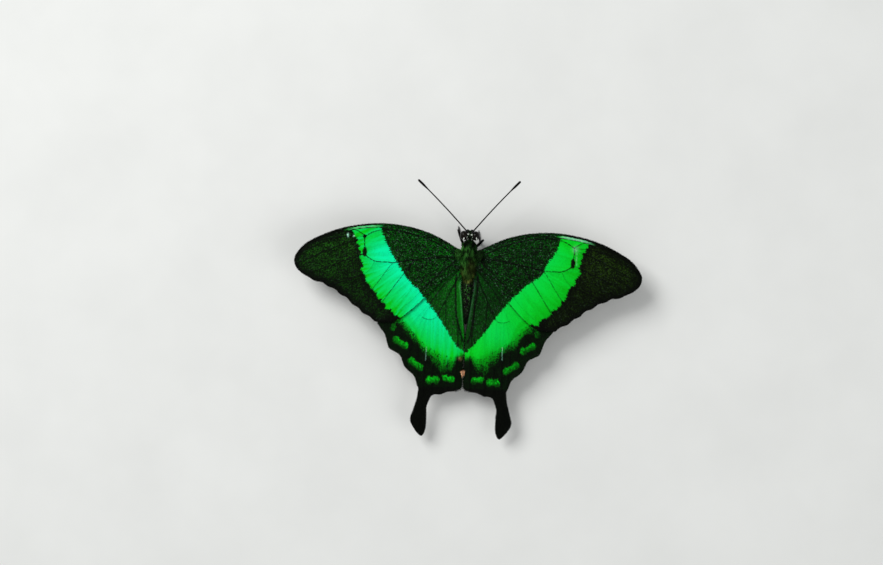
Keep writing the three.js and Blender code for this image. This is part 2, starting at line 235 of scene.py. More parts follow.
class Grain:
    """Smooth noise from 0 to 1 on a plane: a table of random heights, eased between its corners."""

    SIZE = 256

    def __init__(self, seed: int) -> None:
        """Fills the table from a seed."""
        self.table = np.random.default_rng(seed).random((self.SIZE, self.SIZE))

    def at(self, x: Array, y: Array) -> Array:
        """Looks the noise up: the heights of a cell's four corners, eased across and up.

        Args:
            x: Places across, in cells.
            y: Places up, in cells.

        Returns:
            The noise at each place.
        """
        column, row = np.floor(x).astype(int), np.floor(y).astype(int)
        fx, fy = smooth_step(x - column, 0, 1), smooth_step(y - row, 0, 1)
        left, right = column % self.SIZE, (column + 1) % self.SIZE
        low, high = row % self.SIZE, (row + 1) % self.SIZE
        bottom = self.table[low, left] * (1 - fx) + self.table[low, right] * fx
        top = self.table[high, left] * (1 - fx) + self.table[high, right] * fx
        return bottom * (1 - fy) + top * fy


# ---- meshes ----


def to_frame(points: Array) -> Array:
    """Body millimetres to frame metres: y shifts to the footprint's middle, then all scales."""
    return (points + BODY_SHIFT) * MM


@dataclass
class Shape:
    """A mesh as whole arrays, in body millimetres."""

    points: Array
    faces: list[Array]
    values: Values = field(default_factory=dict)  # one number for each point
    spots: Array | None = None  # each point's place on the skin's unwrap, 0 to 1
    finish: Array | None = None  # each face's number among the piece's finishes

    def welded(self) -> "Shape":
        """Merges points closer than a tenth of a micron in a shape of four-sided faces.

        Returns:
            The welded shape. A face with two merged corners has become a triangle, and one with
            more of them is gone.
        """
        keys = np.round(self.points / WELD).astype(np.int64)
        _, first, new = np.unique(keys, axis=0, return_index=True, return_inverse=True)
        moved = new.ravel()[self.faces[0]]
        same = moved == np.roll(moved, -1, axis=1)
        whole, pinched = ~same.any(1), same.sum(1) == 1
        order = (same[pinched].argmax(1)[:, None] + 1 + np.arange(3)) % 4
        kept = [moved[whole], np.take_along_axis(moved[pinched], order, axis=1)]
        values = {key: value[first] for key, value in self.values.items()}
        shape = Shape(self.points[first], kept, values)
        if self.finish is not None:
            shape.finish = np.concatenate([self.finish[whole], self.finish[pinched]])
        return shape

    def outward(self) -> "Shape":
        """Turns a closed shape's faces over if the volume that they enclose is negative.

        Returns:
            The same shape.
        """
        volume = 0.0
        for faces in self.faces:
            corner = self.points[faces]
            for k in range(1, faces.shape[1] - 1):
                across = np.cross(corner[:, k], corner[:, k + 1])
                volume += (corner[:, 0] * across).sum()
        if volume < 0:
            self.faces = [faces[:, ::-1] for faces in self.faces]
        return self


def join(shapes: list[Shape]) -> Shape:
    """Joins shapes into one.

    Args:
        shapes: The shapes, of which the first says what values the whole has.

    Returns:
        The joined shape.
    """
    offset, faces = 0, []
    for shape in shapes:
        faces += [part + offset for part in shape.faces]
        offset += len(shape.points)
    points = np.concatenate([s.points for s in shapes])
    values = {key: np.concatenate([s.values[key] for s in shapes]) for key in shapes[0].values}
    spots = None if shapes[0].spots is None else np.concatenate([s.spots for s in shapes])
    return Shape(points, faces, values, spots)


def grid_faces(rows: int, columns: int, around: bool) -> Array:
    """Four-sided faces between the points of a grid.

    Args:
        rows: Rows of points.
        columns: Points in a row.
        around: Whether each row closes on itself.

    Returns:
        Four point numbers for each face.
    """
    index = np.arange(rows * columns).reshape(rows, columns)
    if around:
        index = np.concatenate([index, index[:, :1]], axis=1)
    corners = [index[:-1, :-1], index[:-1, 1:], index[1:, 1:], index[1:, :-1]]
    return np.stack([c.ravel() for c in corners], axis=1)


def skin(rings: Array, values: Values | None = None) -> Shape:
    """A closed skin over rings of points, of which the first and the last are poles."""
    faces = grid_faces(*rings.shape[:2], True)
    return Shape(rings.reshape(-1, 3), [faces], values or {}).welded().outward()


def tube(path: Array, radii: Array, sides: int, reference: Array) -> Shape:
    """A round section carried along a path: rings stand square to it, and both ends close.

    Args:
        path: Centres of the rings.
        radii: Radius of each ring.
        sides: Points in a ring.
        reference: A direction that the path never takes.

    Returns:
        The closed tube.
    """
    tangent = unit(np.gradient(path, axis=0))
    across = unit(np.cross(tangent, reference))
    up = np.cross(across, tangent)
    angle = np.linspace(0, 2 * np.pi, sides, endpoint=False)
    ring = np.cos(angle)[:, None] * across[:, None] + np.sin(angle)[:, None] * up[:, None]
    body = path[:, None] + radii[:, None, None] * ring
    ends = [np.repeat(path[end][None, None], sides, axis=1) for end in (0, -1)]
    return skin(np.concatenate([ends[0], body, ends[1]]))


def egg(centre: Array, radii: Array | Triple, rows: int, sides: int) -> Shape:
    """An ellipsoid: latitude rings of a ball about an upright axis, stretched by the radii.

    Args:
        centre: Its middle.
        radii: Its radii along x, y and z.
        rows: Rings, poles included.
        sides: Points in a ring.

    Returns:
        The closed ellipsoid.
    """
    fall = np.linspace(0, np.pi, rows)[:, None]
    turn = np.linspace(0, 2 * np.pi, sides, endpoint=False)[None]
    ball = np.stack(
        [np.sin(fall) * np.cos(turn), np.sin(fall) * np.sin(turn), np.cos(fall) + 0 * turn], axis=-1
    )
    return skin(centre + ball * radii)


# ---- hairs and scales ----


@dataclass
class Roots:
    """Where hairs or scales grow, one row for each."""

    at: Array
    normal: Array
    lie: Array  # unit direction along the skin
    spot: Array  # place on the skin's unwrap, 0 to 1
    values: Values

    def pick(self, mask: Array) -> "Roots":
        """The rows that a mask keeps."""
        values = {key: value[mask] for key, value in self.values.items()}
        return Roots(self.at[mask], self.normal[mask], self.lie[mask], self.spot[mask], values)


def scattered(roots: Roots, local: Array, faces: Array, axes: list[Array]) -> Shape:
    """One small shape repeated at every root: the root plus its axes times the shape's own places.

    Args:
        roots: Where the copies stand.
        local: The small shape's points in its own axes.
        faces: Its triangles.
        axes: Each root's three axes, as long as the shape is.

    Returns:
        The copies as one shape, each with its root's values.
    """
    count, size = len(roots.at), len(local)
    points = roots.at[:, None] + sum(local[:, k, None] * axes[k][:, None] for k in range(3))
    offsets = np.arange(count)[:, None, None] * size
    values = {key: np.repeat(value, size) for key, value in roots.values.items()}
    spots = roots.spot[:, None] + (local[:, :2] - (0.5, 0.0)) * PATCH
    return Shape(
        points.reshape(-1, 3), [(faces + offsets).reshape(-1, 3)], values, spots.reshape(-1, 2)
    )


def tilted(roots: Roots, lift: Array) -> tuple[Array, Array, Array]:
    """Lifts each root's axes off the skin.

    Args:
        roots: The roots.
        lift: Angle of each in radians.

    Returns:
        Unit axes along, across and square to each blade.
    """
    c, s = np.cos(lift)[:, None], np.sin(lift)[:, None]
    along = roots.lie * c + roots.normal * s
    up = roots.normal * c - roots.lie * s
    return along, np.cross(up, along), up


# Root, shoulder, tip, tip, shoulder and the crown of the blade: along, across and up.
BLADE = np.array(
    [[0, 0, 0], [0.42, -0.5, 0], [1, -0.3, 0], [1, 0.3, 0], [0.42, 0.5, 0], [0.55, 0, 0.07]]
)
BLADE_FACES = np.array(
    [[5, 0, 1], [5, 1, 2], [5, 2, 3], [5, 3, 4], [5, 4, 0], [0, 2, 1], [0, 3, 2], [0, 4, 3]]
)


def scales(roots: Roots, length: Array, width: Array, lift: Array) -> Shape:
    """Flat scales with a square tip: a five-cornered blade with a low crown on every root.

    Args:
        roots: Where the scales stand.
        length: Length of each.
        width: Greatest width of each.
        lift: Angle off the skin in radians.

    Returns:
        All scales as one shape.
    """
    along, across, up = tilted(roots, lift)
    axes = [along * length[:, None], across * width[:, None], up * length[:, None]]
    return scattered(roots, BLADE, BLADE_FACES, axes)


STRAND_RINGS = np.array([[0.0, 1.0], [0.35, 0.9], [0.72, 0.55]])  # share of length, of radius


def strands(roots: Roots, length: Array, radius: Array, lift: Array, droop: Array) -> Shape:
    """Tapering three-sided hairs that sink by the square of the share of their length.

    Args:
        roots: Where the hairs stand.
        length: Length of each.
        radius: Radius of each at its root.
        lift: Angle off the skin in radians.
        droop: How far the tip sinks, as a share of the length.

    Returns:
        All hairs as one shape.
    """
    along, across, up = tilted(roots, lift)
    angle = np.radians([90.0, 210.0, 330.0])
    rows = [[s, np.cos(turn) * r, np.sin(turn) * r] for s, r in STRAND_RINGS for turn in angle]
    local = np.array([*rows, [1.0, 0.0, 0.0]])
    faces = []
    for ring in range(len(STRAND_RINGS) - 1):
        for k in range(3):
            a, b = 3 * ring + k, 3 * ring + (k + 1) % 3
            faces += [[a, a + 3, b], [b, a + 3, b + 3]]
    last = 3 * (len(STRAND_RINGS) - 1)
    faces += [[last + k, last + 3, last + (k + 1) % 3] for k in range(3)] + [[0, 1, 2]]
    axes = [along * length[:, None], across * radius[:, None], up * radius[:, None]]
    shape = scattered(roots, local, np.array(faces), axes)
    sink = (local[:, 0] ** 2)[None, :, None] * (roots.normal * (droop * length)[:, None])[:, None]
    shape.points -= sink.reshape(-1, 3)
    return shape


# ---- finishes ----

RGBA_MIX = {"data_type": "RGBA"}
MIX_FACTOR, MIX_A, MIX_B, MIX_RESULT = 0, 6, 7, 2
PER_METRE = 1.0 / MM
COAT_ROUGHNESS = 0.08


def linear(colour: str) -> tuple[float, ...]:
    """Turns an sRGB hex colour, such as #04cf1c, to linear red, green and blue, with alpha."""
    parts = (int(colour[i : i + 2], 16) / 255 for i in (1, 3, 5))
    return *(p / 12.92 if p <= 0.04045 else ((p + 0.055) / 1.055) ** 2.4 for p in parts), 1.0


def add(
    tree: bpy.types.NodeTree, kind: str, settings: dict | None = None, links: dict | None = None
) -> bpy.types.Node:
    """Adds a node.

    Args:
        tree: The material's nodes.
        kind: The shader node's kind.
        settings: Its properties and the values of its inputs, by name or number.
        links: For inputs by name or number, the output that feeds each.

    Returns:
        The node.
    """
    node = tree.nodes.new("ShaderNode" + kind)
    for key, value in (settings or {}).items():
        if isinstance(key, str) and hasattr(node, key):
            setattr(node, key, value)
        else:
            node.inputs[key].default_value = value
    for key, socket in (links or {}).items():
        tree.links.new(socket, node.inputs[key])
    return node


@dataclass(frozen=True)
class Layer:
    """A marking that covers the colours below it."""

    amount: str  # attribute that says how much it covers
    low: str
    high: str
    by: str = "tone"  # attribute that says where its colour stands from low to high


@dataclass(frozen=True)
class Finish:
    """A surface of chitin: a mottled ground, markings painted over it in layers, fine relief."""

    name: str
    ground: tuple[str, str]
    layers: tuple[Layer, ...] = ()
    roughness: float = 0.5
    specular: float = 0.3
    gloss: float = 0.0  # clear coat
    mottle_mm: float = 0.5
    relief_mm: float = 0.0  # size of the bumps
    relief_depth_mm: float = 0.01
    cells: bool = False  # bumps are rounded cells, as on an eye

    def colour(self, tree: bpy.types.NodeTree) -> bpy.types.NodeSocket:
        """The ground mixed by noise, then each layer over it.

        Args:
            tree: The material's nodes.

        Returns:
            The output that gives the colour.
        """
        place = {"Vector": add(tree, "TexCoord").outputs["Object"]}
        grain = {"Scale": PER_METRE / self.mottle_mm, "Detail": 3.0, "Roughness": 0.6}
        mottle = add(tree, "TexNoise", grain, place).outputs["Fac"]
        patchy = add(tree, "MapRange", {"From Min": 0.35, "From Max": 0.65}, {"Value": mottle})
        colours = {MIX_A: linear(self.ground[0]), MIX_B: linear(self.ground[1])}
        links = {MIX_FACTOR: patchy.outputs[0]}
        below = add(tree, "Mix", RGBA_MIX | colours, links).outputs[MIX_RESULT]
        for layer in self.layers:
            amount = add(tree, "Attribute", {"attribute_name": layer.amount})
            by = add(tree, "Attribute", {"attribute_name": layer.by})
            ends = {MIX_A: linear(layer.low), MIX_B: linear(layer.high)}
            hue = add(tree, "Mix", RGBA_MIX | ends, {MIX_FACTOR: by.outputs["Fac"]})
            over, share = hue.outputs[MIX_RESULT], amount.outputs["Fac"]
            links = {MIX_FACTOR: share, MIX_A: below, MIX_B: over}
            below = add(tree, "Mix", RGBA_MIX, links).outputs[MIX_RESULT]
        return below

    def relief(self, tree: bpy.types.NodeTree) -> bpy.types.NodeSocket:
        """A bump from cells or noise of the relief's real size.

        Args:
            tree: The material's nodes.

        Returns:
            The output that gives the normal.
        """
        place = {"Vector": add(tree, "TexCoord").outputs["Object"]}
        scale = PER_METRE / self.relief_mm
        if self.cells:
            hollow = add(tree, "TexVoronoi", {"Scale": scale}, place).outputs["Distance"]
            height = add(tree, "Math", {"operation": "SUBTRACT", 0: 1.0}, {1: hollow}).outputs[0]
        else:
            height = add(tree, "TexNoise", {"Scale": scale, "Detail": 2.0}, place).outputs["Fac"]
        bump = {"Strength": 0.8, "Distance": self.relief_depth_mm * MM}
        return add(tree, "Bump", bump, {"Height": height}).outputs["Normal"]

    def make(self) -> bpy.types.Material:
        """Makes the finish's material.

        Returns:
            The material.
        """
        material = bpy.data.materials.new(self.name)
        material.use_nodes = True
        tree = material.node_tree
        inputs = tree.nodes["Principled BSDF"].inputs
        inputs["Roughness"].default_value = self.roughness
        inputs["Specular IOR Level"].default_value = self.specular
        inputs["Coat Weight"].default_value = self.gloss
        inputs["Coat Roughness"].default_value = COAT_ROUGHNESS
        tree.links.new(self.colour(tree), inputs["Base Color"])
        if self.relief_mm:
            tree.links.new(self.relief(tree), inputs["Normal"])
        return material


# The wings' green comes from dished scales that mirror blue and yellow: pure, with hardly any haze.
# The glow layer's turn from green to turquoise is painted iridescence.
UPPER_LAYERS = (
    Layer("fleck", "#0f8a18", "#4a6a18", by="moss"),
    Layer("glow", "#04cf1c", "#04f0a4", by="tint"),
    Layer("pale", "#6fe0b0", "#d8f5e6"),
    Layer("warm", "#b05a30", "#ffd2a4"),
)
# The underside is brown-black, dusted with straw, with brick and slate crescents near the margin.
UNDER_LAYERS = (
    Layer("straw", "#4a4030", "#8c8062"),
    Layer("brick", "#9c4a1c", "#c8692c"),
    Layer("slate", "#4c6f8c", "#7d9cb4"),
    Layer("pale", "#b8ae94", "#e6dfcc"),
)
# Hair of the body: black, green and a dull gold, with a few white tufts on the head.
HAIR_LAYERS = (
    Layer("green", "#0a5208", "#64b852"),
    Layer("gold", "#2c380c", "#8c9a48"),
    Layer("pale", "#b9c4b4", "#f2f5ee"),
)

FINISHES = (
    # Chitin film of the wing under its scales: matt, almost without gloss.
    Finish("wing_film_top", ("#030503", "#070b05"), UPPER_LAYERS, 0.6, 0.03, relief_mm=0.12),
    Finish("wing_film_under", ("#100b08", "#1c150f"), UNDER_LAYERS, 0.6, 0.08, relief_mm=0.12),
    # Wing scales, ridged lengthwise and dry: soft sheen, no sharp light.
    Finish("wing_scale_top", ("#030403", "#070a05"), UPPER_LAYERS, 0.5, 0.03),
    Finish("wing_scale_under", ("#100b08", "#1e1710"), UNDER_LAYERS, 0.6, 0.1),
    # Body cuticle under the hair: black-brown, a little waxy.
    Finish("body_cuticle", ("#030502", "#080b05"), HAIR_LAYERS, 0.5, 0.05, relief_mm=0.1),
    # Body hair: dry keratin-like chitin that catches light along its length.
    Finish("body_hair", ("#030502", "#080b05"), HAIR_LAYERS, 0.55, 0.05),
    # Polished black-brown chitin of legs, feelers and tongue.
    Finish("leg_chitin", ("#040403", "#0b0908"), (), 0.4, 0.12, relief_mm=0.08),
    # Cornea of the compound eye: glossy, with a honeycomb of tiny lenses.
    Finish(
        "eye_cornea", ("#040403", "#130f08"), (), 0.24, 0.1, gloss=0.05,
        mottle_mm=0.9, relief_mm=0.07, relief_depth_mm=0.012, cells=True,
    ),
)


class Dress(Enum):
    """What a kind of piece wears: its finishes, an unused slot, and whether it shades smoothly."""

    FLESH = (("body_cuticle",), "body_scales", True)
    HAIR = (("body_hair",), "body_scales", True)
    EYE_RIM = (("body_hair",), "body_scales", False)
    BELLY = (("body_hair",), "abdomen_scales", False)
    CHITIN = (("leg_chitin",), "dark_chitin", True)
    CORNEA = (("eye_cornea",), "compound_eye", True)
    FILM = (("wing_film_top", "wing_film_under"), "wing_scales", True)
    WING_TOP = (("wing_scale_top",), "wing_scales", False)
    WING_UNDER = (("wing_scale_under",), "wing_scales", False)


@dataclass
class Workshop:
    """Makes the finishes once and turns shapes into pieces of the butterfly."""

    body: str = "root"

    def __post_init__(self) -> None:
        """Makes every finish's material."""
        self.materials = {finish.name: finish.make() for finish in FINISHES}

    def piece(self, name: str, shape: Shape, dress: Dress, *nodes: str) -> None:
        """Puts a shape into a mesh object that rides on the body.

        Args:
            name: The piece's name.
            shape: Its arrays.
            dress: What it wears. The shape's finish numbers count along its finishes.
            nodes: CAD nodes that the piece stands for.
        """
        finishes, slot, smooth = dress.value
        mesh = bpy.data.meshes.new(name)
        mesh.vertices.add(len(shape.points))
        mesh.vertices.foreach_set("co", to_frame(shape.points).astype(np.float32).ravel())
        loops = np.concatenate([part.ravel() for part in shape.faces])
        sizes = np.concatenate([np.full(len(part), part.shape[1]) for part in shape.faces])
        mesh.loops.add(len(loops))
        mesh.loops.foreach_set("vertex_index", loops.astype(np.int32))
        mesh.polygons.add(len(sizes))
        mesh.polygons.foreach_set("loop_start", (np.cumsum(sizes) - sizes).astype(np.int32))
        if shape.finish is not None:
            mesh.polygons.foreach_set("material_index", shape.finish.astype(np.int32))
        mesh.update(calc_edges=True)
        mesh.polygons.foreach_set("use_smooth", np.full(len(sizes), smooth))
        for key, value in shape.values.items():
            layer = mesh.attributes.new(key, "FLOAT", "POINT")
            layer.data.foreach_set("value", value.astype(np.float32))
        if shape.spots is not None:
            unwrap = mesh.uv_layers.new(name=UNWRAP)
            unwrap.data.foreach_set("uv", shape.spots[loops].astype(np.float32).ravel())
        mesh.validate()
        for finish in finishes:
            mesh.materials.append(self.materials[finish])
        piece = bpy.data.objects.new(name, mesh)
        bpy.context.scene.collection.objects.link(piece)
        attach(piece, self.body)
        if nodes:
            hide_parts(*nodes)
        log.info("%s: %d triangles", name, int((sizes - 2).sum()))


# ---- wings ----

WING_ROOT = np.array([2.5, 0.0])


@dataclass(frozen=True)
class Vein:
    """A wing vein: its route in the wing's plane, and how dark its own scales are."""

    knots: tuple[Pair, ...]
    ink: float = 0.0
    half_width: float = 0.11
    height: float = 0.06

    def line(self) -> Line:
        """The route as a line."""
        return Line(curve(self.knots, 26))


class WingKind(Labelled):
    """The two wings of a side."""

    FOREWING = 1
    HINDWING = 2


@dataclass
class Reading:
    """What a wing tells about points on it."""

    hind: bool  # whether the wing is a hindwing
    plan: Array  # span and back before the wing's sweep
    spread: Array  # span and back as the wing is held
    vein: Array  # distance to the nearest vein, in its half-widths
    ridge: Array  # height of the veins above the film
    flow: Array  # unit direction of the scales, in plan
    edge: Array  # distance to the outline

    def moved(self, step: Array) -> "Reading":
        """The same reading at points a small step further on."""
        return replace(self, plan=self.plan + step, spread=self.spread + step)


SHEET_LEVEL = 6.9  # height at the body's middle
SHEET_RISE = 0.075
SHEET_ARCH = 0.0016
SHEET_DROOP = 0.0022
DROOP_START = 8.0


def sheet_height(span: Array, back: Array) -> Array:
    """Height of the sheet that all wings follow: a rise, less squares of span and rear length."""
    behind = np.maximum(0, back - DROOP_START)
    return SHEET_LEVEL + SHEET_RISE * span - SHEET_ARCH * span**2 - SHEET_DROOP * behind**2


def bay(start: Pair, end: Pair, depth: float) -> Array:
    """A shallow bay between two vein ends: the chord, moved in by a raised cosine.

    Args:
        start: Where the bay starts.
        end: Where it ends.
        depth: How far its middle lies inside the chord.

    Returns:
        Forty points.
    """
    t = np.linspace(0, 1, 40)[:, None]
    chord = np.subtract(end, start)
    inward = unit(np.array([-chord[1], chord[0]]))
    return start + t * chord + depth * (1 - np.cos(2 * np.pi * t)) / 2 * inward


@dataclass
class WingPlan:
    """One kind of wing: its outline as two edges that run from root to tip, and its veins."""

    kind: WingKind
    front: Array
    rear: Array
    veins: tuple[Vein, ...]
    level: float  # middle of the film above the common sheet
    fold: float  # depth to which the strip beside the body turns down
    drop: float = 0.0  # how much lower it lies at the rear
    fold_width: float = 2.2

    def __post_init__(self) -> None:
        """Measures the outline."""
        self.outline = np.concatenate([self.front, self.rear[-2::-1]])
        self.lines = [vein.line() for vein in self.veins]
        self.rim = Line(self.outline)

    def height(self, plan: Array) -> Array:
        """Middle of the film: the common sheet, the wing's level and the fold beside the body.

        Args:
            plan: Span and back of the points.

        Returns:
            Height of each.
        """
        span, back = plan.T
        fold = np.maximum(0, 1 - span / self.fold_width)
        lower = self.drop * smooth_step(back, 2, 14)
        return sheet_height(span, back) + self.level - lower - self.fold * fold**2

    def holds(self, plan: Array) -> Array:
        """Finds points inside: a ray to larger span crosses the outline an odd number of times.

        Args:
            plan: Span and back of the points.

        Returns:
            Whether each is inside.
        """
        start, end = self.outline, np.roll(self.outline, -1, axis=0)
        fall = end[:, 1] - start[:, 1]
        slope = (end[:, 0] - start[:, 0]) / np.where(fall == 0, 1, fall)
        found = []
        for part in np.array_split(plan, max(1, len(plan) // CHUNK)):
            x, y = part[:, 0, None], part[:, 1, None]
            straddles = (start[:, 1] > y) != (end[:, 1] > y)
            crosses = straddles & (x < start[:, 0] + (y - start[:, 1]) * slope)
            found.append(crosses.sum(1) % 2 == 1)
        return np.concatenate(found)

    def read(self, plan: Array, sweep: float) -> Reading:
        """Measures points of the wing against its veins and outline.

        Args:
            plan: Span and back of the points.
            sweep: Degrees by which the wing is turned forward about its root.

        Returns:
            The reading. The flow is the veins' direction, weighted by one over distance squared.
        """
        nearest = np.full(len(plan), 99.0)
        ridge = np.zeros(len(plan))
        flow = np.zeros((len(plan), 2))
        for vein, line in zip(self.veins, self.lines):
            distance, run, direction = line.measure(plan)
            taper = 1 - 0.55 * run / run.max()
            share = np.abs(distance) / (vein.half_width * taper)
            nearest = np.minimum(nearest, share)
            ridge = np.maximum(ridge, vein.height * taper * np.exp(-(share**2) / 2))
            flow += direction / (distance[:, None] ** 2 + 0.4)
        edge = np.abs(self.rim.measure(plan)[0])
        turn = math.radians(-sweep)
        matrix = [[math.cos(turn), math.sin(turn)], [-math.sin(turn), math.cos(turn)]]
        spread = (plan - WING_ROOT) @ matrix + WING_ROOT
        hind = self.kind is WingKind.HINDWING
        return Reading(hind, plan, spread, nearest, ridge, unit(flow), edge)


def forewing_plan() -> WingPlan:
    """The forewing: long front edge, rounded tip, and a margin with seven shallow scallops.

    Returns:
        Its plan. The scallops move the margin in by a raised cosine.
    """
    tip = (
        (1.2, -0.6), (3.4, -2.4), (10.5, -5.8), (18.3, -7.45), (26, -7.35), (34, -5.6),
        (41.4, -2.1), (44.5, 1), (45.2, 3.4), (44, 5.6), (40.5, 7.8), (36.3, 9.3),
        (31.8, 11.9), (27.2, 15.4), (23.4, 17.8),
    )
    hind = ((1.2, 2), (5.4, 5.2), (11.1, 11.3), (15.9, 15.9), (19.6, 17.7), (23.4, 17.8))
    above, apex = 3.75 / 14, 8 / 14  # shares of the curve above the hind corner and at the tip
    margin = curve(tip, 100, apex, 1)
    run = np.linspace(0, 1, 100)
    along = unit(np.gradient(margin, axis=0))
    inward = np.stack([-along[:, 1], along[:, 0]], axis=1)
    scallops, depth = 7, 0.17
    wave = depth * (1 - np.cos(2 * np.pi * scallops * run)) * smooth_step(run, 0.1, 0.4)
    margin += wave[:, None] * inward
    front = [curve(tip, 100, 0, above), curve(tip, 100, above, apex)[1:]]
    rear = [curve(hind, 100), margin[::-1][1:]]
    veins = (
        Vein(
            ((1.6, -0.9), (3.5, -2.3), (10.5, -5.6), (18.3, -7.25), (26, -7.15), (34, -5.4)),
            0, 0.2, 0.16,
        ),
        Vein(((34, -5.4), (41, -2.1), (44.4, 1.2)), 0, 0.12, 0.1),
        Vein(((2.6, -0.9), (8, -4.0), (16, -6.5), (23, -6.65), (27, -6.55)), 0.3, 0.13, 0.08),
        Vein(
            ((2.8, -0.4), (10, -4.0), (18, -5.95), (22.6, -6.0), (25.2, -5.3), (27.1, -4.1)),
            0.9, 0.14, 0.09,
        ),
        Vein(((15.5, -5.6), (23, -6.45), (31, -6.1)), 0.5, 0.1),
        Vein(((27.1, -4.3), (28.3, -5.0), (30, -5.7), (33, -5.8)), 0.8, 0.1),
        Vein(((27.1, -4.1), (33, -3.7), (41, -1.9)), 0.6, 0.1),
        Vein(((33, -3.6), (38, -2), (44.6, 1.6)), 0.3, 0.09),
        Vein(((27.1, -3.6), (34, -1.2), (44.9, 4.2)), 0.5, 0.1),
        Vein(
            ((27.1, -4.1), (27.2, -2.4), (26.9, 0.2), (25.8, 1.5), (23.2, 2.25), (19.2, 2.15)),
            0.9, 0.13, 0.08,
        ),
        Vein(((26.9, 0.2), (33, 2.9), (42.4, 6.7)), 0.4, 0.1),
        Vein(((3, 0.1), (7, 0.2), (13, 1.0), (16.2, 1.6), (19.3, 2.2)), 0.9, 0.16, 0.1),
        Vein(((24.4, 2.0), (26.8, 5.6), (36.2, 9.3)), 0.45, 0.11),
        Vein(((19.4, 2.2), (20.6, 3.6), (24.5, 9.3), (29, 13.9)), 0.7, 0.12, 0.07),
        Vein(((13.8, 1.2), (16.4, 4.7), (21.4, 12.0), (24.6, 16.9)), 0.8, 0.12, 0.07),
        Vein(((3.2, 0.9), (9.5, 6.6), (14.6, 12.2), (20.6, 17.3)), 0.3, 0.13, 0.08),
    )
    edges = np.concatenate(front), np.concatenate(rear)
    return WingPlan(WingKind.FOREWING, *edges, veins, level=0.32, fold=0.0, drop=0.2)


def hindwing_plan() -> WingPlan:
    """The hindwing: hidden front edge, scalloped margin, spoon-shaped tail, inner edge by the body.

    Returns:
        Its plan. Each scallop is a bay between two vein ends.
    """
    leading = ((1.4, 1.2), (6, 2.6), (12, 6), (18, 11.2), (21.6, 15.2), (22.9, 17.9))
    ends = [(22.9, 17.9), (19.6, 24.2), (15.1, 29.1), (11.4, 34.4)]
    tail = (
        (11.4, 34.4), (11.65, 37), (12.6, 40.5), (13.15, 42.9), (12, 45.2), (10.2, 46.9),
        (9.25, 45), (9.15, 41.6), (9.2, 39.2), (8.15, 36.3),
    )
    inner = (
        (1.4, 4.4), (1.7, 7.5), (1.25, 11), (0.8, 15), (0.34, 18.6), (0.2, 21.2),
        (0.2, 27), (0.2, 33), (0.6, 34.2), (1.9, 34.75),
    )
    spoon = 5 / 9  # share of the tail's curve at its tip
    scallops = np.concatenate([bay(ends[0], ends[1], 0.5), bay(ends[1], ends[2], 0.9)[1:]])
    lobes = [bay((8.15, 36.3), (5.8, 35.85), 0.25), bay((5.8, 35.85), (1.9, 34.75), 0.25)]
    corner = np.concatenate([curve(inner, 60, 6.5 / 9, 1), lobes[1][::-1][1:], lobes[0][::-1][1:]])
    front = [
        curve(leading, 70),
        evenly(scallops, 64)[1:],
        evenly(bay(ends[2], ends[3], 0.7), 48)[1:],
        curve(tail, 64, 0, spoon)[1:],
    ]
    rear = [
        curve(inner, 70, 0, 3 / 9),
        curve(inner, 64, 3 / 9, 6.5 / 9)[1:],
        evenly(corner, 48)[1:],
        curve(tail, 64, spoon, 1)[::-1][1:],
    ]
    veins = (
        Vein(((1.8, 1.8), (9, 5.3), (16, 10.9), (22.4, 17.2)), 0.3, 0.14, 0.08),
        Vein(((1.8, 2.6), (7, 8.4), (11.2, 15.9)), 0.25, 0.12),
        Vein(
            ((1.7, 3.4), (4.5, 9.2), (6.6, 13.5), (8.0, 15.95), (9.7, 16.35), (11.2, 15.9)),
            0.6, 0.12,
        ),
        Vein(((8.8, 11.2), (14.4, 18.2), (19.4, 23.9)), 0.12, 0.1),
        Vein(((11.2, 15.9), (13.6, 22), (15.0, 28.8)), 0.12, 0.1),
        Vein(((10.4, 16.3), (12.0, 24), (11.8, 33.4)), 0.12, 0.1),
        Vein(
            ((9.7, 16.35), (9.9, 22), (10.1, 30), (10.4, 37), (10.9, 42), (10.6, 46)),
            0.15, 0.12, 0.08,
        ),
        Vein(((7.9, 15.4), (7.9, 26), (8.1, 35.9)), 0.12, 0.1),
        Vein(((5.4, 11.2), (5.1, 23), (5.7, 35.4)), 0.12, 0.1),
        Vein(((1.9, 5), (2.1, 14), (1.7, 25), (1.9, 34.3)), 0.3, 0.12),
    )
    edges = np.concatenate(front), np.concatenate(rear)
    return WingPlan(WingKind.HINDWING, *edges, veins, level=-0.32, fold=0.7)


@dataclass(frozen=True)
class BandEdges:
    """The bright band of one side, over both wings: its edge towards the body, and the outer."""

    inner: tuple[Pair, ...]
    outer: tuple[Pair, ...]


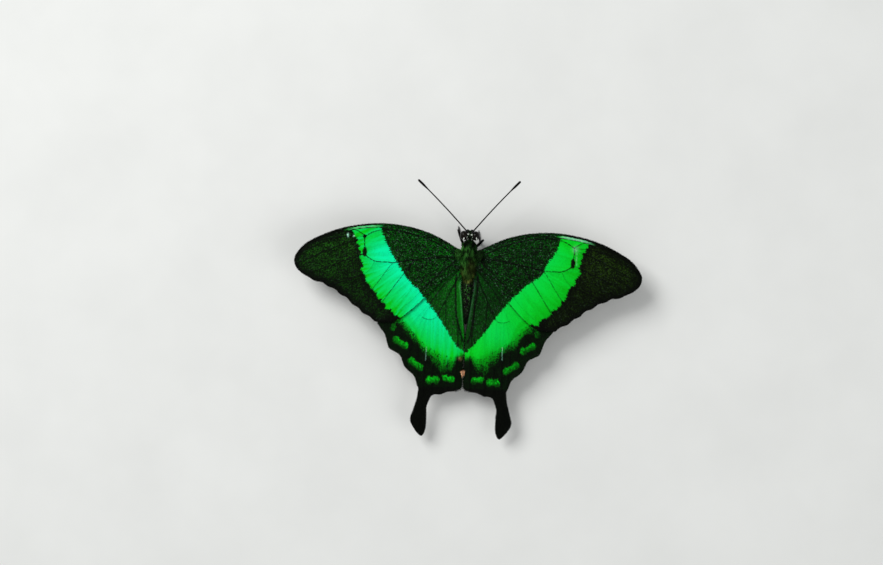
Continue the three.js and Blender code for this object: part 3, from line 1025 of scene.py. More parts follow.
BANDS = {
    Side.LEFT: BandEdges(
        inner=(
            (23.2, -7.0), (21.2, -2.9), (18.7, 1.4), (15.0, 6.5), (12.3, 8.9), (10.1, 11.7),
            (7.6, 14.7), (5.6, 17.5), (3.9, 20.3), (2.2, 22.5), (0.2, 24.0),
        ),
        outer=(
            (31.0, -7.2), (29.0, -3.3), (27.9, -0.2), (27.7, 2.7), (26.2, 6.8), (23.4, 10.5),
            (19.8, 14.3), (16.8, 16.5), (14.1, 19.5), (11.7, 21.9), (8.9, 24.4), (5.7, 26.1),
            (3.2, 26.4), (1.6, 25.2), (0.2, 24.9),
        ),
    ),
    Side.RIGHT: BandEdges(
        inner=(
            (23.7, -7.0), (22.1, -2.4), (20.4, 0.3), (19.0, 3.4), (16.9, 5.0), (13.7, 7.7),
            (10.6, 11.1), (7.8, 14.7), (6.1, 17.4), (3.9, 20.4), (1.0, 23.9), (0.2, 24.5),
        ),
        outer=(
            (32.2, -6.8), (29.6, -3.0), (28.8, -0.6), (28.4, 3.0), (27.0, 6.2), (24.6, 10.2),
            (21.8, 13.3), (18.6, 16.2), (15.8, 17.2), (13.8, 19.1), (12.3, 21.3), (9.8, 23.0),
            (6.7, 25.0), (4.4, 26.4), (2.0, 26.0), (0.2, 25.3),
        ),
    ),
}


@dataclass(frozen=True)
class Crescent:
    """A green crescent inside the hindwing's margin: two humps on a bar, inner rim brightest."""

    humps: tuple[Pair, Pair]
    radius: float
    outward: Pair  # unit direction to the margin
    light: float
    bar: float = 0.75  # half-width of the bar, as a share of the humps' radius

    def away(self, where: Array) -> tuple[Array, Array]:
        """Measures points against the crescent, in its radii.

        Args:
            where: Span and back of the points.

        Returns:
            Distance from its middle, and how far each lies towards the margin.
        """
        start, end = np.array(self.humps)
        reach = end - start
        share = np.clip((where - start) @ reach / (reach @ reach), 0, 1)
        gap = where - start - share[:, None] * reach
        humps = [np.linalg.norm(where - hump, axis=1) for hump in (start, end)]
        bar = np.linalg.norm(gap, axis=1) / self.bar
        distance = np.minimum(np.minimum(*humps), bar) / self.radius
        return distance, gap @ np.array(self.outward) / self.radius


CRESCENTS = (
    Crescent(((17.65, 22.1), (15.4, 23.35)), 1.05, (0.75, 0.66), 0.9),
    Crescent(((13.65, 27.3), (11.4, 28.8)), 1.05, (0.7, 0.71), 0.85),
    Crescent(((8.8, 32.1), (7.1, 32.0)), 1.1, (0.0, 1.0), 1.1),
    Crescent(((4.6, 31.4), (3.0, 31.7)), 1.0, (0.1, 0.99), 1.05),
    Crescent(((18.6, 18.6), (18.8, 19.1)), 0.8, (0.87, 0.5), 0.3),
)

# The dark crease between each hindwing and the strip of it that lies against the abdomen.
CREASES = {
    Side.LEFT: ((2.9, 4.5), (3.0, 8.0), (2.9, 9.8), (2.5, 15.0), (1.4, 18.8), (0.6, 21.5)),
    Side.RIGHT: (
        (2.5, 4.5), (2.6, 8.0), (2.5, 9.5), (2.2, 12.1), (1.9, 16.0), (1.5, 19.5), (0.7, 22.0),
    ),
}


def beside(points: Array, start: Pair, end: Pair) -> Array:
    """Distance of points from the straight line between two places."""
    return np.abs(Line(np.array([start, end])).measure(points)[0])


FRONT_PART = 2  # back at which a forewing's front edge gives way to its rear one
OVERLAP_END = 22  # span at which a forewing's rear edge leaves the hindwing
CREASE_END = 22  # back at which the crease ends

# Black spots where the forewing's cross-veins meet, and a pale hook near its tip: centre, radii.
CELL_SPOT = ((27.0, -0.3), (0.62, 1.3))
FORK_SPOT = ((27.1, -4.2), (0.55, 0.45))
HOOK = ((31.4, -4.5), (0.17, 0.38))


def over_hindwing(places: Array) -> Array:
    """Whether places at a forewing's rim lie on the stretch that covers the hindwing."""
    return (places[:, 1] > FRONT_PART) & (places[:, 0] < OVERLAP_END)


@dataclass
class Markings:
    """Paints the wings of one side: every marking is a distance to a line, frayed by noise."""

    side: Side
    tint: Pair  # painted iridescent hue of the band, green 0 to turquoise 1, at its outer and inner edge
    painted_shade: float  # painted shade: how much darker the band is at its outer edge, and its crescents
    dust: Pair  # brightness of the green dust on forewing and hindwing near the body, with the left side's raised by painted light
    moss: float  # how olive the dust near the wing's tip is
    strip: float  # brightness of the strip beside the body, with the left side's raised by painted light
    streak: Triple  # nearest and furthest from the front edge, and whiteness
    cool: tuple[tuple[float, ...], ...]  # bluer patches of painted iridescence: span, back, reach and amount

    def __post_init__(self) -> None:
        """Makes the band's edges and the noise."""
        edges = BANDS[self.side]
        self.inner = Line(curve(edges.inner, 90))
        self.outer = Line(curve(edges.outer, 110))
        self.crease = Line(curve(CREASES[self.side], 40))
        self.grain = Grain(SEED + self.side.value)

    def band(self, read: Reading, rng: Chance) -> Values:
        """The bright band: its inner edge is crisp, its outer one torn along the rows of scales.

        Args:
            read: The points' reading.
            rng: Source of chance.

        Returns:
            into and before, the distances inside the inner and outer edge, glow and tint.
        """
        span, back = read.spread.T
        from_inner, run_inner, _ = self.inner.measure(read.spread)
        before, run_outer, _ = self.outer.measure(read.spread)
        serration = 0.3 * (self.grain.at(run_inner * 4.0, 0 * span + 7) - 0.5)
        into = -from_inner + serration + 0.12 * rng.normal(0, 1, len(span))
        lane = span - 0.5 * back * smooth_step(span, 9, 18) if read.hind else run_outer
        coarse = self.grain.at(lane * 1.6, span * 0.1) - 0.5
        fine = self.grain.at(lane * 5.0, back * 0.1 + 40) - 0.5
        torn = before + 0.85 * coarse + 0.75 * fine
        glow = smooth_step(into, 0, 0.12)
        if read.hind:  # past its outer edge it fades in streaks, furthest near the tail
            reach = 2.2 + 3.4 * np.clip(1 - np.abs(span - 5.5) / 4.5, 0, 1) + 0.8 * coarse
            reach *= 0.45 + 0.55 * smooth_step(span, 1.0, 3.5)
            out = np.clip(0.25 - torn / reach, 0, 1)
            glow *= (1 - out) ** 1.2 * np.where(rng.random(len(span)) > 0.8 * out, 1, 0.12)
        else:
            glow = self.framed(glow * smooth_step(torn, -0.05, 0.2), read)
        depth = np.clip(into / np.maximum(into + np.maximum(before, 0), 0.5), 0, 1)
        # Painted iridescence: the band's green is painted turning towards turquoise, as the angle
        # to the light turns it, most on the left side.
        outer_painted_iridescence, inner_painted_iridescence = self.tint
        tint = inner_painted_iridescence + (outer_painted_iridescence - inner_painted_iridescence) * depth**0.65
        tint *= 0.3 + 0.7 * smooth_step(span, 2, 9) * smooth_step(back, -4.5, -1.0)
        for *centre, reach, amount in self.cool:
            tint += amount * dab(read.spread, centre, reach)
        vary = 0.5 if read.hind else 0.75
        rays = self.grain.at(lane * 2.3 + 90, before * 0.15) - 0.5
        tint += 0.45 * vary * inner_painted_iridescence * rays
        shine = 0.96 + 0.32 * vary * rays + rng.normal(0, 0.05, len(span))
        # Painted shade: the band is painted darker towards its outer edge, more on the right side.
        glow *= (1.04 - self.painted_shade * depth**2) * shine
        return {"into": into, "before": before, "glow": glow, "tint": tint}

    def framed(self, glow: Array, read: Reading) -> Array:
        """The forewing's band with its dark rims, the streak at its front and its black spots.

        Args:
            glow: Brightness between the band's edges.
            read: The points' reading.

        Returns:
            The new brightness.
        """
        far = self.streak[1]
        front = read.spread[:, 1] < FRONT_PART
        glow = glow * np.where(front, smooth_step(read.edge, far + 0.12, far + 0.3), 1)
        glow = np.maximum(glow, 0.75 * self.front_streak(read, (22.0, 24.0), (30.0, 32.8)))
        hole = oval(read.plan, *CELL_SPOT)
        if self.side is Side.LEFT:
            hole = np.minimum(hole, oval(read.plan, *FORK_SPOT))
        border = np.where(over_hindwing(read.spread), 0.04, 0.18)
        return glow * smooth_step(hole, 0.8, 1.1) * smooth_step(read.edge - border, 0, 0.12)

    def front_streak(self, read: Reading, rise: Pair, fall: Pair) -> Array:
        """The thin streak along the front edge, where the band meets it.

        Args:
            read: The points' reading.
            rise: Spans between which it comes up.
            fall: Spans between which it ends.

        Returns:
            1 on the streak and 0 off it.
        """
        span, back = read.spread.T
        near, far, _ = self.streak
        line = window(read.edge, (near - 0.1, near), (far, far + 0.1))
        return line * (back < FRONT_PART) * window(span, rise, fall)

    def ground(self, read: Reading, band: Values, rng: Chance) -> tuple[Array, Array]:
        """Green dust on the black ground: many dull scales, a few bright, none along the veins.

        Args:
            read: The points' reading.
            band: What band() gave.
            rng: Source of chance.

        Returns:
            Brightness of the dust, and how olive it is.
        """
        span, back = read.spread.T
        beyond = smooth_step(band["into"], 1.0, 3.0)
        # The dust's levels also carry painted light: the left side's are higher.
        front_dust_and_light, hind_dust_and_light = self.dust
        if read.hind:
            level = 1.15 * hind_dust_and_light * (1 - 0.25 * smooth_step(span, 3, 9))
            level = level * (1 - beyond) + 0.014 * beyond
        else:
            costal = 1 - smooth_step(read.edge, 1.2, 4.0)
            level = front_dust_and_light * (0.85 + 0.5 * costal * (back < FRONT_PART))
            level *= 1 - 0.5 * dab(read.spread, (3.2, 1.0), 2.2)
            level += 0.9 * front_dust_and_light * dab(read.spread, (4.3, -1.7), 1.6)
            low = (0.4 + 0.5 * smooth_step(back, 8, 0)) * smooth_step(read.edge, 0.3, 2.6)
            low *= 0.35 + 0.65 * smooth_step(-band["before"], 0.3, 2.5)
            level = level * (1 - beyond) + front_dust_and_light * low * beyond
        level *= 0.65 + 0.7 * self.grain.at(span * 1.1, back * 1.1)
        chance = rng.random(len(span))
        speck = 0.4 + 1.8 * chance**2 if read.hind else 0.05 + 3.8 * chance**3
        fleck = level * speck * (1 - 0.75 * glimmer(read.vein, 1.9))
        if read.hind:
            return self.folded(fleck, read, rng), 0 * beyond
        return fleck, self.moss * beyond

    def folded(self, fleck: Array, read: Reading, rng: Chance) -> Array:
        """The hindwing's dust with its brighter strip beside the body and the dark crease.

        Args:
            fleck: Brightness of the dust.
            read: The points' reading.
            rng: Source of chance.

        Returns:
            The new brightness.
        """
        back = read.spread[:, 1]
        gap = self.crease.measure(read.spread)[0]
        strip = smooth_step(gap, 0.1, 0.45) * window(back, (5, 7), (20, 22))
        # The strip's brightness also carries painted light: the left side's is higher.
        strip *= self.strip * (0.6 + 0.8 * rng.random(len(back)))
        fleck = np.maximum(fleck, strip * (0.9 + 0.7 * glimmer(read.edge - 0.3, 0.15)))
        crease = glimmer(gap, 0.28) * (back < CREASE_END) + smooth_step(back, 33.2, 34.2)
        return fleck * (1 - np.clip(crease, 0, 1))

    def top(self, read: Reading, rng: Chance) -> Values:
        """Values of the upper face at points of a wing.

        Args:
            read: The points' reading.
            rng: Source of chance.

        Returns:
            fleck, moss, glow, tint, pale, warm and tone, each from 0 to 1.
        """
        count = len(read.plan)
        band = self.band(read, rng)
        fleck, moss = self.ground(read, band, rng)
        glow, tint = band["glow"], band["tint"]
        if read.hind:
            mottle = self.grain.at(read.spread[:, 0] * 2.4 + 9, read.spread[:, 1] * 2.4)
            for crescent in CRESCENTS:
                distance, margin = crescent.away(read.spread)
                inside = 1 - smooth_step(distance + 0.6 * (mottle - 0.5), 0.8, 1.0)
                light = crescent.light * (1.3 - 1.15 * smooth_step(margin, -0.9, 0.9))
                # Painted shade: each crescent is darkened by the side's painted shade.
                light *= (1 - self.painted_shade) * (0.15 + 1.3 * mottle) * rng.uniform(0.3, 1.2, count)
                glow = np.maximum(glow, inside * light)
                tint = np.where(inside > 0.05, 0.0, tint)
        pale, warm = self.accents(read)
        frost = np.where(rng.random(count) < 0.1, rng.uniform(0.01, 0.09, count), 0)
        frost *= 0.45 if read.hind else 1.0
        frost *= 1 - (1.0 if read.hind else 0.75) * smooth_step(band["into"], 0.5, 2.0)
        pale = np.maximum(pale, frost * smooth_step(fleck, 0.0, 0.02) * (glow < 0.05))
        tone = np.where(frost > 0, 0.7, rng.random(count) ** 1.5)
        values = {"fleck": fleck, "moss": moss, "glow": glow, "tint": tint, "pale": pale}
        return clipped(values | {"warm": warm, "tone": tone})

    def accents(self, read: Reading) -> tuple[Array, Array]:
        """The small pale and warm marks, each a soft spot or line.

        Args:
            read: The points' reading.

        Returns:
            How pale and how warm each point is. The pale spot and line at the right forewing's fork
            are a painted highlight.
        """
        span, back = read.spread.T
        warm = np.zeros(len(span))
        if read.hind:
            ahead = 0.0 if self.side is Side.LEFT else -0.8
            start, end = (9.87, 23.4 + ahead), (9.95, 26.8 + ahead)
            pale = 0.4 * glimmer(beside(read.spread, start, end), 0.07)
            hem = glimmer(read.edge - 0.22, 0.14) * smooth_step(back, 5, 6.5) * (span < 2.5)
            hem *= (0.03 + 0.08 * self.strip) * (1 - smooth_step(back, 15, 18))
            pale = np.maximum(pale, hem)
            half = (0.75 if self.side is Side.LEFT else 0.5) * np.clip((31.7 - back) / 2.2, 0, 1)
            wedge = (back > 29.2) * (span < half)
            warm = wedge * (0.75 + 1.2 * (self.grain.at(span * 5, back * 2) - 0.4))
            if self.side is Side.LEFT:
                warm = np.maximum(warm, 0.3 * dab(read.spread, (1.0, 26.1), 0.4))
        else:
            pale = self.streak[2] * self.front_streak(read, (22.5, 25.0), (29.0, 32.6))
            if self.side is Side.LEFT:
                pale = np.maximum(pale, 1.6 * glimmer(oval(read.spread, *HOOK), 1.0))
                pale = np.maximum(pale, 0.9 * dab(read.spread, (29.9, -4.3), 0.18))
            else:
                # Painted highlight on the right forewing: a pale glint where the veins fork, and a
                # pale line along the vein below it.
                fork_highlight = 0.8 * dab(read.spread, (27.4, -3.6), 0.75)
                stem_highlight = glimmer(beside(read.spread, (27.75, -3.2), (27.9, 0.4)), 0.13)
                pale = np.maximum(pale, 0.34 * np.maximum(fork_highlight, 0.7 * stem_highlight))
        return pale, warm

    def under(self, read: Reading, rng: Chance) -> Values:
        """Values of the underside at points of a wing.

        Args:
            read: The points' reading.
            rng: Source of chance.

        Returns:
            straw, brick, slate, pale and tone, each from 0 to 1.
        """
        span, back = read.spread.T
        count = len(span)
        mist = self.grain.at(span * 0.8, back * 0.8)
        straw = 0.15 * mist + 0.1 * rng.random(count) ** 3
        brick, slate = np.zeros(count), np.zeros(count)
        if not read.hind:
            beyond = -self.outer.measure(read.spread)[0]
            bar = window(beyond, (-2.0, 2.5), (5.5, 9.5))
            straw = np.maximum(straw, bar * (0.45 + 0.5 * mist))
            straw *= 1 - 0.6 * (1 - smooth_step(read.vein, 1.0, 2.6))
            outer = (span > 22) & (back > 4)
        else:
            straw = np.maximum(straw, 0.45 * smooth_step(back, 17, 26) * mist)
            outer = (span > 5) & (back > 18)
            grit = self.grain.at(span * 5, back * 5)
            for crescent in CRESCENTS:
                distance, margin = crescent.away(read.spread)
                inside = 1 - smooth_step(distance, 0.7, 0.95)
                arc = inside * smooth_step(margin, -0.4, 0.1)
                brick = np.maximum(brick, arc * (0.45 + 0.9 * grit))
                ahead = crescent.away(read.spread + 1.4 * np.array(crescent.outward))[0]
                haze = 1 - smooth_step(ahead + 0.6 * (grit - 0.5), 0.1, 1.0)
                slate = np.maximum(slate, 0.75 * haze * (1 - inside))
        edge = glimmer(read.edge, 0.2) * (rng.random(count) < 0.5) * outer
        straw *= 0.4 + 1.2 * rng.random(count)
        values = {"straw": straw, "brick": brick, "slate": slate, "pale": 0.3 * edge}
        return clipped(values | {"tone": rng.random(count)})


@dataclass(frozen=True)
class ScaleSize:
    """Spacing and size of a face's scales, drawn twice as coarse as real ones."""

    pitch: Pair
    length: Pair
    width: Pair


SCALE_SIZES = {
    Face.TOP: ScaleSize((0.215, 0.19), (0.37, 0.47), (0.23, 0.28)),
    Face.UNDER: ScaleSize((0.25, 0.22), (0.42, 0.54), (0.27, 0.32)),
}


@dataclass
class Wing:
    """A wing of one side: the film with its veins, and a coat of scales on each face."""

    plan: WingPlan
    side: Side
    sweep: float
    marks: Markings
    thickness: float = 0.16
    sag: float = 0.13  # how deep the film sags between veins
    rounding: float = 0.14  # width of the rim that is rounded off
    columns: int = 92
    root_lift: float = 0.004  # height of the scales' roots above the film
    vein_root_lift: float = 0.03
    fringe_root_lift: float = -0.05
    look: float = 0.05  # step by which the way of the scales is found

    def place(self, read: Reading, face: Face, lift: float = 0.0) -> Array:
        """Points on a face, up or down from the middle height less the sag between veins.

        The way up or down is half the thickness, rounded off at the rim, and the veins' ridges.

        Args:
            read: The points' reading.
            face: Which face.
            lift: Height above that face.

        Returns:
            The points.
        """
        hollow = 1 - glimmer(read.vein, 8.0)
        sag = self.sag * hollow * smooth_step(read.edge, 0, 1.5)
        rim = np.clip(read.edge / self.rounding, 0, 1)
        half = self.thickness / 2 * np.sqrt(1 - (1 - rim) ** 2)
        out = half + read.ridge * smooth_step(read.edge, 0, 0.2) + lift
        height = self.plan.height(read.plan) - sag + face.value * out
        x = self.side.value * read.spread[:, 0]
        return np.stack([x, read.spread[:, 1], height], axis=1)

    def paint(self, face: Face, read: Reading, rng: Chance) -> Values:
        """The markings of a face."""
        paint = self.marks.top if face is Face.TOP else self.marks.under
        return paint(read, rng)

    def film(self) -> Shape:
        """The film: a grid ruled from the front edge to the rear one, on both faces.

        Returns:
            The closed film, whose faces meet at the rim.
        """
        t = np.linspace(0, 1, self.columns)
        across = (0.5 * t + 0.5 * (1 - np.cos(np.pi * t)) / 2)[None, :, None]
        plan = self.plan.front[:, None] * (1 - across) + self.plan.rear[:, None] * across
        rows, columns = plan.shape[:2]
        read = self.plan.read(plan.reshape(-1, 2), self.sweep)
        edge = read.edge.reshape(rows, columns)
        edge[[0, -1]] = 0
        edge[:, [0, -1]] = 0
        faces = grid_faces(rows, columns, False)
        rng = np.random.default_rng(SEED)
        painted = [self.paint(face, read, rng) for face in Face]
        nothing = np.zeros(rows * columns)
        values = {
            key: np.concatenate([values.get(key, nothing) for values in painted])
            for key in sorted(painted[0] | painted[1])
        }
        points = np.concatenate([self.place(read, face) for face in Face])
        both = np.concatenate([faces, faces[:, ::-1] + rows * columns])
        finish = np.repeat([0, 1], len(faces))
        return Shape(points, [both], values, None, finish).welded().outward()

    def grown(self, face: Face, plan: Array, rng: Chance, lift: float) -> Roots:
        """Scale roots at places of the wing's plan.

        Args:
            face: Their face.
            plan: Span and back of each.
            rng: Source of chance.
            lift: Height of the roots above the film.

        Returns:
            The roots, with the markings as their values.
        """
        read = self.plan.read(plan, self.sweep)
        at = self.place(read, face, lift)
        aside = np.stack([-read.flow[:, 1], read.flow[:, 0]], axis=1)
        lie = unit(self.place(read.moved(self.look * read.flow), face, lift) - at)
        normal = unit(np.cross(lie, self.place(read.moved(self.look * aside), face, lift) - at))
        normal *= np.sign(normal[:, 2:]) * face.value
        low, high = self.plan.outline.min(0), self.plan.outline.max(0)
        spot = 0.01 + 0.98 * (plan - low) / (high - low).max()
        values = self.paint(face, read, rng)
        values["room"] = np.where(self.plan.holds(plan + 0.33 * read.flow), 1.0, 0.5)
        return Roots(at, normal, lie, spot, values)

    def lattice(self, face: Face, rng: Chance) -> Array:
        """Places of a staggered lattice, each shaken by less than half its pitch.

        Args:
            face: The face, which sets the pitch.
            rng: Source of the shaking.

        Returns:
            Span and back of the places inside the outline.
        """
        low, high = self.plan.outline.min(0), self.plan.outline.max(0)
        pitch = SCALE_SIZES[face].pitch
        x, y = np.meshgrid(*(np.arange(low[k], high[k], pitch[k]) for k in (0, 1)))
        x += pitch[0] / 2 * (np.arange(len(y)) % 2)[:, None]
        places = np.stack([x.ravel(), y.ravel()], axis=1)
        places += rng.uniform(-0.4, 0.4, places.shape) * pitch
        return places[self.plan.holds(places)]

    def coat(self, face: Face) -> Shape:
        """Overlapping scales over one face, longer than the lattice so that they shingle.

        Args:
            face: The face.

        Returns:
            The scales, with those of the veins, and on top the fringe.
        """
        rng = np.random.default_rng(SEED + 10 * self.side.value + face.value)
        roots = self.grown(face, self.lattice(face, rng), rng, self.root_lift)
        count = len(roots.at)
        aside = np.cross(roots.normal, roots.lie)
        roots.lie = unit(roots.lie + rng.normal(0, 0.08, (count, 1)) * aside)
        size = SCALE_SIZES[face]
        length = rng.uniform(*size.length, count) * roots.values.pop("room")
        width = rng.uniform(*size.width, count)
        flat = scales(roots, length, width, rng.normal(0.13, 0.035, count))
        layers = [flat, self.vein_scales(face, rng)]
        if face is Face.TOP:
            layers.append(self.fringe(rng))
        return join(layers)

    def vein_scales(self, face: Face, rng: Chance) -> Shape:
        """Narrow dark scales in a single row along each vein that shows.

        Args:
            face: The face.
            rng: Source of chance.

        Returns:
            The scales.
        """
        paths, inks = [], []
        for vein, line in zip(self.plan.veins, self.plan.lines):
            if vein.ink:
                paths.append(evenly(line.points, int(run_of(line.points) / 0.13)))
                inks.append(np.full(len(paths[-1]), vein.ink))
        places, ink = np.concatenate(paths), np.concatenate(inks)
        inside = self.plan.holds(places)
        places, ink = places[inside], ink[inside]
        roots = self.grown(face, places, rng, self.vein_root_lift)
        for key in ("glow", "fleck", "straw"):
            if key in roots.values:
                roots.values[key] *= 1 - ink
        length = 0.34 * roots.values.pop("room")
        return scales(roots, length, 0.12 + 0.2 * ink, np.full(len(places), 0.06))

    def fringe(self, rng: Chance) -> Shape:
        """Narrow dark scales that stand out level from the rim, longest beside the body.

        Args:
            rng: Source of their scatter.

        Returns:
            The scales.
        """
        rim = evenly(self.plan.outline, int(run_of(self.plan.outline) / 0.11))
        along = unit(np.gradient(rim, axis=0))
        outward = np.stack([along[:, 1], -along[:, 0]], axis=1)
        rim -= 0.1 * outward
        outward = unit(outward + rng.normal(0, 0.2, outward.shape))
        roots = self.grown(Face.TOP, rim, rng, self.fringe_root_lift)
        step = 0.1 * outward
        rise = self.plan.height(rim + step) - self.plan.height(rim)
        roots.lie = unit(np.column_stack([self.side.value * step[:, 0], step[:, 1], rise]))
        roots.normal = along_skin(UPRIGHT, roots.lie)
        bright = (self.plan.kind is WingKind.FOREWING) & over_hindwing(rim)
        for key in ("glow", "fleck", "pale"):
            roots.values[key] *= np.where(bright, 1.0, 0.1)
        del roots.values["room"]
        inner = (1 - smooth_step(rim[:, 0], 1.8, 2.4)) * (1 - glimmer(rim[:, 1] - 18.0, 1.2))
        count = len(rim)
        length = rng.uniform(0.22, 0.36, count) * (1 + 0.9 * inner)
        return scales(roots, length, rng.uniform(0.07, 0.12, count), rng.normal(0, 0.08, count))

    def build(self, shop: Workshop) -> None:
        """Makes the film and its two coats.

        Args:
            shop: The workshop.
        """
        kind, side = self.plan.kind.label, self.side.label
        shop.piece(f"{kind}_film_{side}", self.film(), Dress.FILM, f"{kind}_{side}")
        for face, dress in ((Face.TOP, Dress.WING_TOP), (Face.UNDER, Dress.WING_UNDER)):
            shop.piece(f"{kind}_scales_{face.label}_{side}", self.coat(face), dress)


# ---- body ----

EYE_CENTRE = np.array([1.5, -5.85, 6.65])
EYE_RADII = np.array([1.07, 1.24, 1.31])
# x, y, radius and brightness of the white tufts between the eyes.
HEAD_DOTS = (
    (0.44, -6.26, 0.24, 1.0), (-0.46, -6.07, 0.24, 1.0), (0.73, -5.5, 0.16, 0.7),
    (-0.73, -5.5, 0.16, 0.9), (0.5, -5.0, 0.16, 0.5), (-0.5, -5.0, 0.16, 0.5),
)
# The gold arch over the thorax's rear, in plan.
ARCH = Line(curve(((1.97, 3.4), (1.3, 5.1), (0.25, 5.9), (-0.9, 5.3), (-1.66, 4.06)), 30))


@dataclass
class Trunk:
    """Head, collar, thorax and abdomen as one skin, with its coat of hair and scales."""

    # Along the body: y, half-width, height above the axis, depth below it, height of the axis.
    knots: tuple[tuple[float, ...], ...] = (
        (-7.0, 0.0, 0.0, 0.0, 6.5), (-6.85, 0.55, 0.55, 0.55, 6.5), (-6.35, 1.02, 1.04, 1.1, 6.52),
        (-5.7, 1.2, 1.27, 1.3, 6.55), (-5.1, 1.15, 1.17, 1.17, 6.55), (-4.6, 0.95, 0.92, 0.9, 6.5),
        (-4.25, 1.2, 1.08, 0.98, 6.45), (-3.7, 1.6, 1.4, 1.22, 6.42), (-3.0, 1.75, 1.6, 1.45, 6.38),
        (-1.8, 2.05, 1.92, 1.72, 6.32), (-0.4, 2.37, 2.24, 2.12, 6.3), (1.0, 2.44, 2.32, 2.2, 6.28),
        (2.4, 2.25, 2.18, 2.15, 6.24), (3.8, 1.86, 1.86, 1.86, 6.2), (4.9, 1.45, 1.5, 1.5, 6.15),
        (5.6, 1.18, 1.2, 1.22, 6.08), (6.5, 1.3, 1.27, 1.32, 5.98), (8.0, 1.34, 1.32, 1.4, 5.86),
        (10.0, 1.28, 1.28, 1.42, 5.68), (12.2, 1.14, 1.16, 1.26, 5.44),
        (14.4, 0.93, 0.94, 1.0, 5.19), (16.0, 0.66, 0.7, 0.74, 5.0),
        (16.9, 0.36, 0.4, 0.42, 4.88), (17.2, 0.0, 0.0, 0.0, 4.85),
    )
    first_groove: float = 5.85
    segment: float = 1.65
    groove: float = 0.07
    rings: int = 260
    sides: int = 64

    def __post_init__(self) -> None:
        """Makes the noise, and the chance of the hair."""
        self.grain = Grain(SEED + 3)
        self.rng = np.random.default_rng(SEED + 1)

    def profile(self, share: Array) -> Array:
        """The knots' five values at shares along them."""
        return smooth_path(self.knots, share)

    def surface(self, share: Array, angle: Array) -> Array:
        """Points on the skin: an ellipse at each place, drawn in at the abdomen's grooves.

        Args:
            share: Place along the knots, 0 at the face and 1 at the tip.
            angle: Turn about the axis, 0 to the left side and a quarter turn at the top.

        Returns:
            The points.
        """
        y, half, top, bottom, axis = self.profile(share).T
        phase = (y - self.first_groove) / self.segment
        drawn = 1 - self.groove * np.cos(np.pi * phase) ** 14 * smooth_step(y, 5.6, 6.6)
        rise = np.where(np.sin(angle) > 0, top, bottom) * np.sin(angle)
        return np.stack([half * np.cos(angle) * drawn, y, axis + rise * drawn], axis=1)

    def share_at(self, y: float) -> float:
        """The share along the knots at which the skin reaches y."""
        shares = np.linspace(0, 1, 1200)
        return float(np.interp(y, self.profile(shares)[:, 0], shares))

    def skin(self) -> Shape:
        """The skin as rings, close enough together for the grooves.

        Returns:
            The closed skin with its markings.
        """
        share = np.repeat(np.linspace(0, 1, self.rings), self.sides)
        angle = np.tile(np.linspace(0, 2 * np.pi, self.sides, endpoint=False), self.rings)
        points = self.surface(share, angle)
        values = self.paint(points, np.random.default_rng(SEED))
        return skin(points.reshape(self.rings, self.sides, 3), values)

    def paint(self, points: Array, rng: Chance) -> Values:
        """Values of the body's markings at points.

        The thorax is green in clumps above, painted lighter on the left, with painted highlights
        at its left front and a gold arch at its rear. All else is black with green specks, and
        white tufts between the eyes.

        Args:
            points: The points.
            rng: Source of chance.

        Returns:
            green, gold, pale and tone, each from 0 to 1.
        """
        x, y, z = points.T
        count = len(x)
        above = smooth_step(z, 5.6, 7.0)
        clump = self.grain.at(x * 1.7 + 60, y * 1.1 + 60)
        clump += 1.3 * (self.grain.at(x * 4.2, y * 1.7) - 0.5)
        clump = smooth_step(clump + rng.normal(0, 0.05, count), 0.34, 0.84)
        thorax = window(y, (-3.9, -2.2), (5.2, 6.6))
        # Painted light: the thorax's green is painted brighter on the left and darker on the right,
        # with a painted highlight at its left front.
        lit = 0.45 + 0.27 * np.clip(x / 1.5, -1, 1)
        lit += 0.5 * glimmer(oval(points, (1.5, -1.5), (1.2, 1.5)), 1.0)
        # Painted highlights: two bright green dabs at the thorax's left front.
        highlight_dabs = dab(points, (0.6, -1.0), 0.3) + 0.8 * dab(points, (1.9, -2.1), 0.4)
        core = glimmer(oval(points, (-0.6, 1.6), (0.9, 1.5)), 1.0)
        green = thorax * above * lit * (0.05 + 1.6 * clump) * (1 - 0.8 * core)
        green = np.maximum(green, 0.9 * highlight_dabs * above) * (1 - 0.5 * smooth_step(y, 2.2, 4.2))
        green = np.where(rng.random(count) < 0.1 + 0.06 * (y > 6), 0.6 * above, green)
        arch = glimmer(ARCH.measure(points[:, :2])[0], 0.45) * (0.6 + 0.6 * clump)
        rear = window(y, (0.8, 3.0), (5.6, 6.8))
        gold = above * np.maximum(arch, 0.22 * rear + 0.3 * core)
        pale = np.zeros(count)
        for spot_x, spot_y, radius, light in HEAD_DOTS:
            away = np.hypot(x - spot_x, y - spot_y)
            pale = np.maximum(pale, light * (away < radius) * (z > 7.0))
        rows = glimmer(np.abs(x) - 0.4, 0.3) * smooth_step(y, 6, 7) * above
        pale = np.maximum(pale, rows * (rng.random(count) < 0.05) * 0.13)
        tone = rng.random(count) ** 3 * (0.3 + 0.7 * clump) + 0.2 * clump**3 + 0.5 * highlight_dabs
        return clipped({"green": green, "gold": gold, "pale": pale, "tone": tone})

